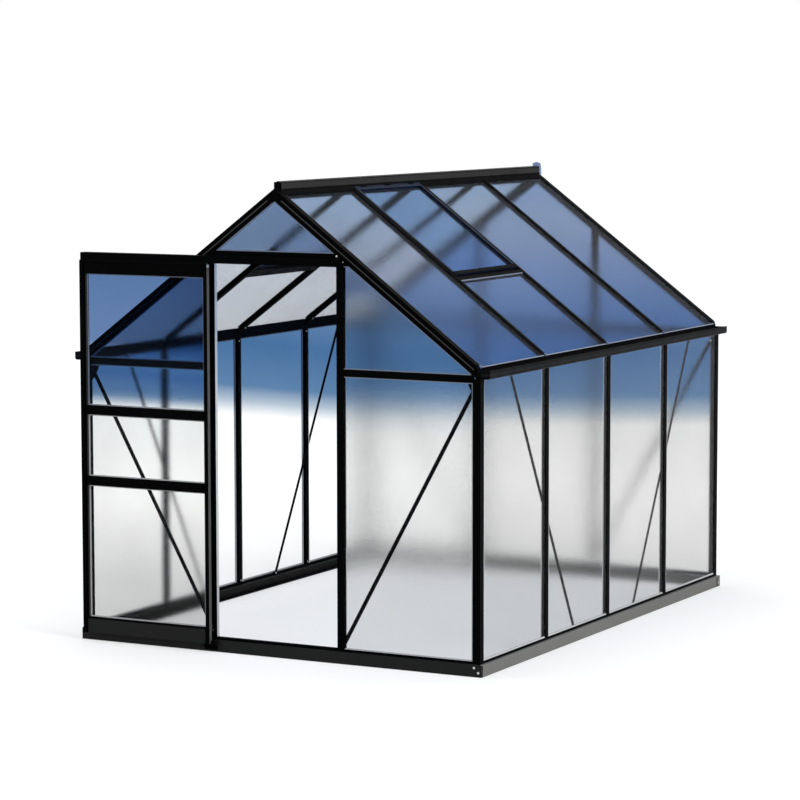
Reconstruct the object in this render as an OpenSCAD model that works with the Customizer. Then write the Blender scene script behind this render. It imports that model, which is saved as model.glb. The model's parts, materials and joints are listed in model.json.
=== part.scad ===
// Small polycarbonate greenhouse with a sliding door in its front gable.
// X runs across the gables (right is +), the front gable faces -Y, Z is up.
// The origin is the centre of the whole outline, on the ground.

/* [House] */
// Width over the corner posts
house_w = 1900; // [1500:10:2500]
// Length over the two gable faces
house_l = 2540; // [1900:10:4000]
// Height of the roof surface above the wall faces
eave_h = 1250; // [1150:5:1500]
// Slope of the roof, in degrees
roof_angle = 36.7; // [30:0.1:42]
// Number of panes along each side
bay_count = 4; // [3:1:6]

/* [Base rail] */
// Height of the base rail
base_h = 50; // [35:1:90]
// How far the base rail stands out past the posts
base_proud = 13; // [6:1:20]
// Depth of the base rail's flanges
base_d = 50; // [40:1:80]
// Thickness of the base rail's sheet
base_t = 2; // [1.5:0.5:4]

/* [Glazing] */
// Thickness of the polycarbonate sheet
pane_t = 4; // [3:0.5:8]
// Gap between a sheet and the faces of its groove
pane_gap = 0.3; // [0.2:0.1:0.5]
// Gap between a sheet's edge and the bottom of its groove
edge_gap = 1; // [0.5:0.5:3]
// Thickness of the outer lip over the sheet
lip_t = 2.2; // [1.5:0.1:4]
// Depth of the glazing grooves in posts, bars and rafters
groove_d = 11; // [8:0.5:13]
// How far the inner flange is narrower than the outer one, each side
inner_step = 2; // [0:0.5:4]

/* [Wall bars] */
// Depth of every wall bar, front to back
wall_d = 20; // [17:1:40]
// Width of the studs in the long walls
stud_w = 30; // [28:1:50]
// Width of a corner post on the gable
corner_gable_w = 35; // [32:1:60]
// Width of a corner post on the long wall
corner_side_w = 33; // [32:1:60]
// Width of the posts beside the doorway
door_post_w = 33; // [28:1:50]
// Width of the posts in the back gable
back_post_w = 30; // [28:1:50]
// Distance of the back gable's posts from the middle
back_post_x = 310; // [200:5:400]
// Height of the sill rail
sill_h = 11; // [8:0.5:30]
// Depth of the grooves in the sill rail and the eave beam
rail_groove_d = 6; // [5:0.5:7]
// Height of the gables' cross rails
rail_w = 30; // [22:1:50]
// Depth of the grooves in the gables' cross rails
cross_groove_d = 8; // [6:0.5:10]
// Height of the cross rails' middle above the eave beams' underside
cross_rise = 1; // [-10:1:10]
// Gap between pieces that meet but don't touch
joint_gap = 0.3; // [0.1:0.1:0.5]

/* [Eave and gutter] */
// Height of the eave beam's underside below the roof surface
eave_drop = 42; // [40:1:60]
// How far the gutter stands out past the wall
gutter_out = 42; // [30:1:80]
// Height of the gutter's underside above the eave beam's underside
gutter_rise = 2; // [0:0.5:6]
// Height of the gutter's outer wall
gutter_h = 32; // [20:1:38]
// Thickness of the gutter's sheet
gutter_t = 2.5; // [1.5:0.5:4]
// How far the roof sheets reach over the gutter
pane_overhang = 12; // [5:1:25]

/* [Roof] */
// Width of the roof bars
roof_bar_w = 28; // [26:1:50]
// Depth of the roof bars
roof_bar_d = 25; // [20:1:40]
// Depth of a rafter, square to the roof
rafter_d = 41; // [36:1:60]
// Width of a rafter's top flange
rafter_w = 35; // [32:1:60]
// Width of the groove along a rafter's face
face_groove_w = 6; // [3:1:10]
// Depth of the groove along a rafter's face
face_groove_d = 1.2; // [0.4:0.1:2]
// Length of the ridge beam's flange down each slope
ridge_wing = 45; // [35:1:60]
// Half of the ridge cap's width
cap_half_w = 18; // [12:1:25]
// Height of the ridge cap above the ridge
cap_h = 30; // [15:1:50]
// How far the ridge cap's top edges are lower than its middle
cap_fall = 6; // [0:1:12]
// Distance of the ridge cap's front end from the gable face
cap_setback = 30; // [0:1:60]
// Length of the end cap on the back end of the ridge
end_cap_l = 22; // [16:1:100]
// How far that end cap reaches past the back gable
end_cap_out = 8; // [0:1:12]
// Height of that end cap above the ridge
end_cap_h = 48; // [32:1:70]
// Slope of the end cap's back face, in degrees
end_cap_slope = 70; // [45:1:85]

/* [Roof vents] */
// Which bay has the vents, counted from the front
vent_bay = 2; // [2:1:2]
// Distance down the slope from the ridge to a vent's lower edge
vent_end = 634; // [400:1:800]
// How far a vent stands proud of the roof surface
vent_proud = 3; // [0:0.5:8]
// Depth of a vent's frame
vent_d = 15; // [12:0.5:25]
// Width of the vent frame's side bars
vent_side_w = 14; // [12:1:30]
// Width of the vent frame's bottom bar
vent_bottom_w = 19; // [14:1:40]
// Gap between a vent and the bars beside it
vent_side_gap = 2; // [1:0.5:5]
// Gap between a closed vent and its seats
vent_seat_gap = 0.3; // [0.1:0.1:1]
// Width of the channel between a vent and the sheet below it
vent_channel_w = 16; // [6:1:30]
// Width of the bar between that channel and the sheet's groove
vent_web_w = 7; // [4:1:15]
// Thickness of the vent frame behind its groove
vent_wall_t = 3; // [2:0.5:5]

/* [Braces] */
// Width of the flat bracing bars
brace_w = 17; // [10:1:30]
// Thickness of the flat bracing bars
brace_t = 3; // [1.5:0.5:5]
// Height of a gable brace's upper end below the eave beam
brace_top_drop = 33; // [20:1:80]
// Height of a gable brace's lower end above the sill
brace_foot_rise = 8; // [5:1:60]

/* [Doorway] */
// Clear width between the door posts
doorway_w = 582; // [450:2:640]
// Drop from the rafters to the header's underside, at the outer edges of the door posts
header_drop = 19; // [5:1:60]
// Height of the header
header_w = 50; // [30:1:60]

/* [Sliding door] */
// How far the closed door laps over the post at each side of the doorway
door_lap = 26; // [5:1:30]
// Distance of the parked door from the doorway
door_park = 14; // [2:1:40]
// Thickness of the door
door_t = 22; // [18:1:40]
// Clearance between the door and the fixed frame
door_gap = 5; // [5:0.5:15]
// Gap under the door
door_lift = 35; // [32:1:50]
// Width of the plain outer part of a door stile
stile_face_w = 17; // [12:1:40]
// Width of the recessed inner part of a door stile
stile_inner_w = 5; // [2:1:40]
// Depth of that recess
stile_step = 12; // [0:0.5:13]
// Depth of the rails' faces behind the stiles'
rail_step = 5; // [0:0.5:8]
// Height of the door's top rail
top_rail_h = 54; // [30:1:80]
// Height of the door's bottom rail
bottom_rail_h = 70; // [50:1:120]
// Height of the door's middle rails
mid_rail_h = 40; // [26:1:60]
// Middle of the lower middle rail, above the ground
mid_rail_low_z = 696; // [500:1:800]
// Middle of the upper middle rail, above the ground
mid_rail_high_z = 1001; // [900:1:1200]

/* [Track and guide] */
// Height of the top track
track_h = 31; // [26:1:40]
// Thickness of the track's walls
track_t = 2.5; // [2:0.5:4]
// Inner width of the track
track_in_w = 22; // [20:1:26]
// Width of the slot under the track
track_slot_w = 6; // [5:0.5:8]
// Gap between the track and the door's top edge
track_clear = 6; // [5:0.5:12]
// How far the track's underside lies below the header's
track_drop = 2; // [0:0.5:4]
// Distance of the track's left end from the parked door's edge
track_short = 8; // [0:1:40]
// Diameter of the roller wheels
roller_d = 18; // [14:1:20]
// Width of one roller wheel
roller_w = 5; // [3:0.5:6]
// Distance of each roller from the door's middle
roller_x = 240; // [150:5:260]
// Thickness of a roller's hanger plate
hanger_t = 4; // [3:0.5:4]
// Width of a roller's hanger plate
hanger_w = 14; // [8:1:16]
// Gap under the wheels
roller_gap = 0.3; // [0.1:0.1:0.5]
// Length of the guide under the door
guide_l = 60; // [40:2:80]
// Thickness of the guide's fin and plates
guide_t = 3; // [2:0.5:4]
// Gap on each side of the guide's fin
guide_gap = 0.5; // [0.3:0.1:1]
// How far the guide's fin reaches into the door
guide_bite = 13; // [8:1:16]
// Space above the guide's fin
guide_top_gap = 4; // [2:0.5:8]
// Height of the guide's fixing plate
guide_plate_h = 16; // [10:1:18]

/* [Hidden] */

half_w = house_w / 2;
eave_in = half_w - wall_d;            // inner face of the long walls
beam_z = eave_h - eave_drop;          // underside of the eave beams
wall_foot = base_h + sill_h;          // top of the sills
post_h = beam_z - base_h;
stud_h = beam_z - wall_foot;
bay = house_l / bay_count;
apex_z = eave_h + half_w * tan(roof_angle);

groove_t = pane_t + 2 * pane_gap;     // width of every glazing groove
groove_in = lip_t + groove_t;         // depth to a groove's inner side
pane_in = lip_t + pane_gap;           // depth of a sheet's outer face
rail_z = beam_z + cross_rise;         // middle of the gables' cross rails
sheet_low_z = wall_foot - rail_groove_d + edge_gap;
sheet_rail_gap = rail_w / 2 - cross_groove_d + edge_gap;
corner_sheet_x = half_w - corner_gable_w + groove_d - edge_gap;

door_in = base_proud + door_gap;      // door's back face, before the gable
door_out = door_in + door_t;
door_mid = door_in + door_t / 2;
door_w = doorway_w + 2 * door_lap;
door_travel = doorway_w + door_lap + door_park; // from parked to closed
door_post_x = (doorway_w + door_post_w) / 2;
door_post_out = doorway_w / 2 + door_post_w;
header_z = roof_z(door_post_out, rafter_d) - header_drop;
track_z = header_z - track_drop;      // underside of the track
door_top = track_z - track_clear;
track_in = door_mid - track_in_w / 2 - track_t;
track_out = door_mid + track_in_w / 2 + track_t;

front_reach = max(track_out, door_out);
back_reach = max(base_proud, end_cap_out);
front_y = -(house_l + front_reach + back_reach) / 2 + front_reach;

vent_near = (vent_bay - 1) * bay + roof_bar_w / 2;
vent_far = vent_bay * bay - roof_bar_w / 2;
vent_start = cap_half_w / cos(roof_angle) + vent_seat_gap;
vent_top_w = ridge_wing - vent_start;
vent_in = vent_d - vent_proud;        // depth of a vent's underside
vent_lip = vent_end + vent_seat_gap + vent_channel_w;
vent_sill_w = groove_d + vent_web_w;
vent_sheet_s = vent_lip + vent_sill_w - groove_d + edge_gap;
far = 4 * house_l;                    // longer than anything
cut = 1;                              // how far a cut runs past a face

// Height of a line that lies n below the roof surface, x from the middle
function roof_z(x, n = 0) = apex_z - abs(x) * tan(roof_angle) - n / cos(roof_angle);

ridge_under = ridge_wing * sin(roof_angle) + roof_bar_d * cos(roof_angle);

// ---- placing and sections ----

// Moves the house from its front gable face to the middle of the outline
module place() {
    translate([0, front_y, 0]) children();
}

// Turns the front gable's pieces round to the back gable
module at_back() {
    translate([0, house_l, 0]) mirror([0, 1, 0]) children();
}

// Right slope: X runs down the slope from the ridge, Z out of the roof
module on_slope() {
    translate([0, 0, apex_z]) rotate([0, roof_angle, 0]) children();
}

module on_left() {
    mirror([1, 0, 0]) children();
}

module both_sides() {
    children();
    on_left() children();
}

// A section drawn in Y and Z, made long along X
module along_x(length) {
    rotate([90, 0, 90]) linear_extrude(length) children();
}

// A section drawn in X and Z, made long along Y
module along_y(length) {
    translate([0, length, 0]) rotate([90, 0, 0]) linear_extrude(length) children();
}

// Section of a glazing bar: outer lip at 0, grooves on both edges
module bar_section(w, d, groove = groove_d, step = inner_step) {
    half = w / 2;
    polygon([
        [-half, 0], [half, 0], [half, lip_t], [half - groove, lip_t],
        [half - groove, groove_in], [half - step, groove_in], [half - step, d],
        [step - half, d], [step - half, groove_in], [groove - half, groove_in],
        [groove - half, lip_t], [-half, lip_t]
    ]);
}

// Section of a corner post: two outer lips and a groove for each wall
module corner_section() {
    polygon([
        [0, 0], [corner_gable_w, 0], [corner_gable_w, lip_t],
        [corner_gable_w - groove_d, lip_t], [corner_gable_w - groove_d, groove_in],
        [corner_gable_w - inner_step, groove_in], [corner_gable_w - inner_step, wall_d],
        [wall_d, wall_d], [wall_d, corner_side_w - inner_step],
        [groove_in, corner_side_w - inner_step], [groove_in, corner_side_w - groove_d],
        [lip_t, corner_side_w - groove_d], [lip_t, corner_side_w], [0, corner_side_w]
    ]);
}

// Section of the sill rail: open groove on top
module sill_section() {
    difference() {
        square([wall_d, sill_h]);
        translate([lip_t, sill_h - rail_groove_d]) square([groove_t, rail_groove_d + cut]);
    }
}

// Section of the base rail: a channel that opens inwards
module base_section() {
    difference() {
        square([base_d, base_h]);
        translate([base_t, base_t]) square([base_d, base_h - 2 * base_t]);
    }
}

// Section of a rafter: first axis into the house, second axis out of the roof
module rafter_section() {
    groove_mid = rafter_d / 2;
    mirror([0, 1]) polygon([
        [0, 0], [rafter_w, 0], [rafter_w, lip_t], [rafter_w - groove_d, lip_t],
        [rafter_w - groove_d, groove_in], [rafter_w - inner_step, groove_in],
        [rafter_w - inner_step, wall_d], [wall_d, wall_d],
        [wall_d, rafter_d - inner_step], [groove_in, rafter_d - inner_step],
        [groove_in, rafter_d - groove_d], [lip_t, rafter_d - groove_d],
        [lip_t, rafter_d], [0, rafter_d],
        [0, groove_mid + face_groove_w / 2], [face_groove_d, groove_mid + face_groove_w / 2],
        [face_groove_d, groove_mid - face_groove_w / 2], [0, groove_mid - face_groove_w / 2]
    ]);
}

// Outline of a gable below a line that lies n under the roof surface, cut off at two heights
module gable_outline(n, low, high = far) {
    intersection() {
        polygon([
            [-half_w, 0], [half_w, 0], [half_w, roof_z(half_w, n)],
            [0, roof_z(0, n)], [-half_w, roof_z(half_w, n)]
        ]);
        translate([-half_w, low]) square([house_w, high - low]);
    }
}

// ---- base and sills ----

// One base rail along X with mitred ends, outer face at 0
module base_rail(length) {
    intersection() {
        translate([-length / 2, 0, 0]) along_x(length) base_section();
        linear_extrude(base_h) polygon([
            [-length / 2, 0], [length / 2, 0],
            [length / 2 - base_d, base_d], [base_d - length / 2, base_d]
        ]);
    }
}

module base_gable() {
    translate([0, -base_proud, 0]) base_rail(house_w + 2 * base_proud);
}

module base_side() {
    translate([half_w + base_proud, house_l / 2, 0]) rotate([0, 0, 90])
        base_rail(house_l + 2 * base_proud);
}

module base_front() {
    color("#1b1c1d") place() base_gable();
}

module base_back() {
    color("#1b1c1d") place() at_back() base_gable();
}

module base_left() {
    color("#1b1c1d") place() on_left() base_side();
}

module base_right() {
    color("#1b1c1d") place() base_side();
}

module sill_gable() {
    length = house_w - 2 * corner_gable_w;
    translate([-length / 2, 0, base_h]) along_x(length) sill_section();
}

module sill_side() {
    translate([half_w, corner_side_w, base_h])
        along_y(house_l - 2 * corner_side_w) mirror([1, 0]) sill_section();
}

module gable_sills() {
    color("#101112") place() {
        sill_gable();
        at_back() sill_gable();
    }
}

module wall_sills() {
    color("#101112") place() both_sides() sill_side();
}

// ---- posts and studs ----

module corner_post() {
    translate([half_w, 0, base_h]) mirror([1, 0, 0]) linear_extrude(post_h) corner_section();
}

module corner_posts_front() {
    color("#101112") place() both_sides() corner_post();
}

module corner_posts_back() {
    color("#101112") place() at_back() both_sides() corner_post();
}

module door_posts() {
    color("#101112") place() both_sides()
        translate([door_post_x, 0, wall_foot])
            linear_extrude(header_z - wall_foot) bar_section(door_post_w, wall_d);
}

module back_posts() {
    color("#101112") place() at_back() intersection() {
        both_sides() translate([back_post_x, 0, wall_foot])
            linear_extrude(apex_z) bar_section(back_post_w, wall_d);
        along_y(wall_d) gable_outline(rafter_d, wall_foot);
    }
}

module studs() {
    for (i = [1:bay_count - 1])
        translate([half_w, i * bay, wall_foot]) rotate([0, 0, 90])
            linear_extrude(stud_h) bar_section(stud_w, wall_d);
}

module studs_left() {
    color("#101112") place() on_left() studs();
}

module studs_right() {
    color("#101112") place() studs();
}

// ---- eave beams with gutters ----

// Height of the underside of the roof sheets, x from the middle
function sheet_under(x) = roof_z(x, pane_in + pane_t) - pane_gap;

module gutter() {
    slot_top = beam_z + rail_groove_d;
    low = beam_z + gutter_rise;
    outer = half_w + gutter_out;
    wall_x = eave_in + gutter_t;
    rim = low + gutter_h;
    along_y(house_l) polygon([
        [eave_in, beam_z], [half_w - groove_in, beam_z], [half_w - groove_in, slot_top],
        [half_w - lip_t, slot_top], [half_w - lip_t, beam_z], [half_w, beam_z],
        [half_w, low], [outer, low], [outer, rim], [outer - gutter_t, rim],
        [outer - gutter_t, low + gutter_t], [half_w + gutter_t, low + gutter_t],
        [half_w + gutter_t, slot_top + gutter_t], [wall_x, slot_top + gutter_t],
        [wall_x, sheet_under(wall_x)], [eave_in, sheet_under(eave_in)]
    ]);
    for (y = [0, house_l - gutter_t])
        translate([0, y, 0]) along_y(gutter_t) polygon([
            [eave_in, slot_top], [half_w, slot_top], [half_w, low], [outer, low],
            [outer, rim], [wall_x, rim], [wall_x, sheet_under(wall_x)],
            [eave_in, sheet_under(eave_in)]
        ]);
}

module gutter_left() {
    color("#232426") place() on_left() gutter();
}

module gutter_right() {
    color("#232426") place() gutter();
}

// ---- roof frame ----

// Solid outline of the ridge beam
module ridge_outline() {
    x_top = ridge_wing * cos(roof_angle);
    x_low = x_top - roof_bar_d * sin(roof_angle);
    z_low = apex_z - ridge_under;
    polygon([
        [0, apex_z], [x_top, roof_z(x_top)], [x_low, z_low],
        [-x_low, z_low], [-x_top, roof_z(x_top)]
    ]);
}

module ridge_beam() {
    color("#101112") place() difference() {
        along_y(house_l) ridge_outline();
        both_sides() on_slope() {
            translate([ridge_wing - groove_d, -cut, -groove_in])
                cube([groove_d + cut, house_l + 2 * cut, groove_t]);
            translate([vent_start - vent_seat_gap, vent_near, -vent_in - vent_seat_gap])
                cube([vent_top_w + 2 * cut, vent_far - vent_near, vent_in + cut]);
        }
    }
}

// Section of a cap that straddles the ridge
module cap_section(h) {
    foot_z = roof_z(cap_half_w, -joint_gap);
    polygon([
        [0, roof_z(0, -joint_gap)], [cap_half_w, foot_z],
        [cap_half_w, apex_z + h - cap_fall], [0, apex_z + h],
        [-cap_half_w, apex_z + h - cap_fall], [-cap_half_w, foot_z]
    ]);
}

module ridge_cap() {
    color("#2c2d2f") place() translate([0, cap_setback, 0])
        along_y(house_l - cap_setback - end_cap_l + end_cap_out) cap_section(cap_h);
}

module ridge_end_cap() {
    back = house_l + end_cap_out;
    color("#8f9bb5") place() difference() {
        translate([0, back - end_cap_l, 0]) along_y(end_cap_l) cap_section(end_cap_h);
        translate([0, back, apex_z + cap_h / 2]) rotate([90 - end_cap_slope, 0, 0])
            translate([-far / 2, 0, 0]) cube([far, far, far]);
    }
}

module rafter() {
    intersection() {
        difference() {
            on_slope() translate([-ridge_wing, 0, 0]) along_x(house_w) rafter_section();
            translate([0, -cut, 0]) along_y(house_l + 2 * cut) ridge_outline();
        }
        translate([joint_gap, 0, 0]) cube([eave_in - joint_gap, house_l, far]);
    }
}

module rafters_front() {
    color("#101112") place() both_sides() rafter();
}

module rafters_back() {
    color("#101112") place() at_back() both_sides() rafter();
}

module roof_bars() {
    intersection() {
        on_slope() for (i = [1:bay_count - 1])
            translate([ridge_wing, i * bay, 0]) along_x(house_w)
                mirror([0, 1]) bar_section(roof_bar_w, roof_bar_d);
        cube([eave_in, house_l, far]);
    }
}

module roof_bars_left() {
    color("#101112") place() on_left() roof_bars();
}

module roof_bars_right() {
    color("#101112") place() roof_bars();
}

// ---- cross rails in the gables ----

// One rail between two distances from the middle
module cross_rail(from, to, z, w, groove) {
    translate([from, 0, z]) rotate([0, 90, 0])
        linear_extrude(to - from) bar_section(w, wall_d, groove);
}

module door_header() {
    color("#101112") place() intersection() {
        cross_rail(-half_w, half_w, header_z + header_w / 2, header_w, groove_d);
        along_y(wall_d) gable_outline(rafter_d, header_z);
    }
}

module front_rails() {
    color("#101112") place() both_sides()
        cross_rail(door_post_out, half_w - corner_gable_w, rail_z, rail_w, cross_groove_d);
}

module back_rails() {
    color("#101112") place() at_back() {
        inner = back_post_x + back_post_w / 2;
        both_sides() cross_rail(inner, half_w - corner_gable_w, rail_z, rail_w, cross_groove_d);
        span = back_post_x - back_post_w / 2;
        cross_rail(-span, span, rail_z, rail_w, cross_groove_d);
    }
}

// ---- braces: flat bars on the inner faces of the posts ----

// A flat bar in the XZ plane between two points, each end square
module flat_bar(x0, z0, x1, z1) {
    length = norm([x1 - x0, z1 - z0]);
    translate([x0, 0, z0]) rotate([0, -atan2(z1 - z0, x1 - x0), 0])
        translate([-brace_w / 2, 0, -brace_w / 2]) cube([length + brace_w, brace_t, brace_w]);
}

// Brace of a gable, from its corner post down to the foot of a post
module gable_brace(foot_x) {
    top_x = eave_in - joint_gap - brace_w / sqrt(2);
    translate([0, wall_d, 0])
        flat_bar(foot_x, wall_foot + brace_foot_rise, top_x, beam_z - brace_top_drop);
}

// Brace of a long wall: middle of the end bay's eave to middle of the next sill
module side_brace() {
    slope = (beam_z - base_h) / bay;
    rise = beam_z + brace_w;
    intersection() {
        translate([eave_in, 0, 0]) rotate([0, 0, 90])
            flat_bar(bay / 2 - brace_w / slope, rise, bay * 1.5, base_h);
        translate([0, 0, base_h + joint_gap]) cube([half_w, house_l, rise - base_h]);
    }
}

module gable_braces() {
    color("#101112") place() both_sides() {
        gable_brace(door_post_x);
        at_back() gable_brace(back_post_x);
    }
}

module wall_braces() {
    color("#101112") place() both_sides() {
        side_brace();
        at_back() side_brace();
    }
}

// ---- roof vents ----

// Cross bar under a vent: seat, open channel, and the groove for the sheet below
module vent_sill() {
    seat = vent_end - vent_bottom_w;
    last = vent_lip + vent_sill_w;
    seat_n = vent_in + vent_seat_gap;
    on_slope() translate([0, vent_near, 0]) along_y(vent_far - vent_near) mirror([0, 1]) polygon([
        [seat, seat_n], [vent_end + vent_seat_gap, seat_n],
        [vent_end + vent_seat_gap, groove_in], [vent_lip, groove_in], [vent_lip, 0],
        [last, 0], [last, lip_t], [last - groove_d, lip_t],
        [last - groove_d, groove_in], [last, groove_in], [last, roof_bar_d],
        [seat, roof_bar_d]
    ]);
}

module vent_sills() {
    color("#101112") place() both_sides() vent_sill();
}

// Ring of the vent frame with the groove for its sheet
module vent_frame() {
    near = vent_near + vent_side_gap;
    wide = vent_far - vent_near - 2 * vent_side_gap;
    groove = vent_side_w - vent_wall_t;
    window_l = vent_end - vent_bottom_w - ridge_wing;
    on_slope() difference() {
        translate([vent_start, near, -vent_in]) cube([vent_end - vent_start, wide, vent_d]);
        translate([ridge_wing, near + vent_side_w, -vent_d])
            cube([window_l, wide - 2 * vent_side_w, 2 * vent_d]);
        translate([ridge_wing - groove, near + vent_side_w - groove, -groove_in])
            cube([window_l + 2 * groove, wide - 2 * vent_side_w + 2 * groove, groove_t]);
    }
}

module vent_pane() {
    near = vent_near + vent_side_gap;
    wide = vent_far - vent_near - 2 * vent_side_gap;
    bite = vent_side_w - vent_wall_t - edge_gap;
    window_l = vent_end - vent_bottom_w - ridge_wing;
    on_slope() translate([ridge_wing - bite, near + vent_side_w - bite, -pane_in - pane_t])
        cube([window_l + 2 * bite, wide - 2 * vent_side_w + 2 * bite, pane_t]);
}

module vent_frame_left() {
    color("#16202e") place() on_left() vent_frame();
}

module vent_frame_right() {
    color("#16202e") place() vent_frame();
}

module vent_panes() {
    color([0.55, 0.66, 0.85, 0.5]) place() both_sides() vent_pane();
}

// ---- sheets ----

// Where the sheets of a bay begin and end, given the width of each support
function sheet_near(i, end_w, w) =
    (i == 0 ? end_w : i * bay + w / 2) - groove_d + edge_gap;
function sheet_far(i, end_w, w) = house_l - sheet_near(bay_count - 1 - i, end_w, w);

module roof_panes() {
    s_end = (eave_in + pane_overhang) / cos(roof_angle);
    on_slope() for (i = [0:bay_count - 1]) {
        s_start = i == vent_bay - 1 ? vent_sheet_s : ridge_wing - groove_d + edge_gap;
        near = sheet_near(i, rafter_w, roof_bar_w);
        wide = sheet_far(i, rafter_w, roof_bar_w) - near;
        translate([s_start, near, -pane_in - pane_t]) cube([s_end - s_start, wide, pane_t]);
    }
}

module wall_panes() {
    high = beam_z + rail_groove_d - edge_gap;
    for (i = [0:bay_count - 1]) {
        near = sheet_near(i, corner_side_w, stud_w);
        wide = sheet_far(i, corner_side_w, stud_w) - near;
        translate([half_w - pane_in - pane_t, near, sheet_low_z])
            cube([pane_t, wide, high - sheet_low_z]);
    }
}

// Part of a gable's sheet area between two distances from the middle
module gable_sheet(from, to, low, high) {
    translate([0, pane_in, 0]) along_y(pane_t) intersection() {
        gable_outline(rafter_d - groove_d + edge_gap, low, high);
        translate([from, low]) square([to - from, far]);
    }
}

module roof_panes_left() {
    color([0.55, 0.66, 0.85, 0.5]) place() on_left() roof_panes();
}

module roof_panes_right() {
    color([0.55, 0.66, 0.85, 0.5]) place() roof_panes();
}

module wall_panes_left() {
    color([0.85, 0.89, 0.93, 0.4]) place() on_left() wall_panes();
}

module wall_panes_right() {
    color([0.85, 0.89, 0.93, 0.4]) place() wall_panes();
}

module front_panes() {
    inner = door_post_out - groove_d + edge_gap;
    ridge_low = apex_z - ridge_under - edge_gap;
    color([0.85, 0.89, 0.93, 0.4]) place() {
        both_sides() {
            gable_sheet(inner, corner_sheet_x, sheet_low_z, rail_z - sheet_rail_gap);
            gable_sheet(inner, corner_sheet_x, rail_z + sheet_rail_gap,
                header_z + groove_d - edge_gap);
        }
        gable_sheet(-half_w, half_w, header_z + header_w - groove_d + edge_gap, ridge_low);
    }
}

module back_panes() {
    gap = back_post_w / 2 - groove_d + edge_gap;
    ridge_low = apex_z - ridge_under - edge_gap;
    color([0.85, 0.89, 0.93, 0.4]) place() at_back() {
        both_sides() {
            gable_sheet(back_post_x + gap, corner_sheet_x, sheet_low_z, rail_z - sheet_rail_gap);
            gable_sheet(back_post_x + gap, corner_sheet_x, rail_z + sheet_rail_gap, ridge_low);
        }
        gable_sheet(gap - back_post_x, back_post_x - gap, sheet_low_z, rail_z - sheet_rail_gap);
        gable_sheet(gap - back_post_x, back_post_x - gap, rail_z + sheet_rail_gap, ridge_low);
    }
}

// ---- track and guide, fixed to the house ----

// Hanging-door track: channel open below, with an arm back to the header
module door_track() {
    left = door_travel + door_w / 2 - track_short;
    right = door_w / 2 + door_gap;
    color("#101112") place() translate([-left, 0, track_z]) along_x(left + right) difference() {
        translate([-track_out, 0]) square([track_out, track_h]);
        translate([-door_mid - track_in_w / 2, track_t])
            square([track_in_w, track_h - 2 * track_t]);
        translate([-door_mid - track_slot_w / 2, -cut]) square([track_slot_w, track_t + 2 * cut]);
        translate([-track_in, -cut]) square([track_in - track_t, track_h - track_t + cut]);
        translate([-track_t - cut, -cut]) square([track_t + 2 * cut, track_drop + 2 * cut]);
    }
}

// Guide under the door at the left door post: plate, shelf and fin
module door_guide() {
    low = door_lift - 2 * door_gap;
    color("#101112") place() translate([-(door_travel + guide_l) / 2, 0, 0])
        along_x(guide_l) {
            translate([-base_proud - guide_t, low - guide_plate_h])
                square([guide_t, guide_plate_h]);
            translate([-door_mid - guide_t / 2, low - guide_t])
                square([door_mid + guide_t / 2 - base_proud, guide_t]);
            translate([-door_mid - guide_t / 2, low - guide_t])
                square([guide_t, door_lift + guide_bite - low + guide_t]);
        }
}

// ---- sliding door, drawn parked at its left end ----

// Moves the door from the middle of the doorway to where it is parked
module parked() {
    translate([-door_travel, -door_out, 0]) children();
}

// Groove in the underside of the door for the guide's fin
module guide_groove() {
    wide = guide_t + 2 * guide_gap;
    translate([-door_w, (door_t - wide) / 2, door_lift - cut])
        cube([2 * door_w, wide, guide_bite + guide_top_gap + cut]);
}

module stile() {
    full = stile_face_w + stile_inner_w;
    translate([-door_w / 2, 0, door_lift]) linear_extrude(door_top - door_lift) polygon([
        [0, 0], [stile_face_w, 0], [stile_face_w, stile_step], [full, stile_step],
        [full, stile_step + lip_t], [full - groove_d, stile_step + lip_t],
        [full - groove_d, stile_step + groove_in], [full, stile_step + groove_in],
        [full, door_t], [0, door_t]
    ]);
}

module door_stiles() {
    color("#101112") place() parked() difference() {
        both_sides() stile();
        guide_groove();
    }
}

// A door rail between the stiles, from z for a height h
module door_rail(z, h, groove_above, groove_below) {
    length = door_w - 2 * (stile_face_w + stile_inner_w);
    translate([-length / 2, 0, z]) along_x(length) difference() {
        translate([rail_step, 0]) square([door_t - rail_step, h]);
        if (groove_above)
            translate([stile_step + lip_t, h - groove_d]) square([groove_t, groove_d + cut]);
        if (groove_below)
            translate([stile_step + lip_t, -cut]) square([groove_t, groove_d + cut]);
    }
}

module door_top_rail() {
    color("#101112") place() parked()
        door_rail(door_top - top_rail_h, top_rail_h, false, true);
}

module door_mid_rails() {
    color("#101112") place() parked() for (z = [mid_rail_low_z, mid_rail_high_z])
        door_rail(z - mid_rail_h / 2, mid_rail_h, true, true);
}

module door_bottom_rail() {
    color("#1b1c1d") place() parked() difference() {
        door_rail(door_lift, bottom_rail_h, true, false);
        guide_groove();
    }
}

module door_panes() {
    bite = groove_d - edge_gap;
    wide = door_w - 2 * (stile_face_w + stile_inner_w - bite);
    rails = [
        door_lift + bottom_rail_h, mid_rail_low_z - mid_rail_h / 2,
        mid_rail_low_z + mid_rail_h / 2, mid_rail_high_z - mid_rail_h / 2,
        mid_rail_high_z + mid_rail_h / 2, door_top - top_rail_h
    ];
    color([0.85, 0.89, 0.93, 0.4]) place() parked() for (i = [0:2:4])
        translate([-wide / 2, stile_step + pane_in, rails[i] - bite])
            cube([wide, pane_t, rails[i + 1] - rails[i] + 2 * bite]);
}

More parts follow.
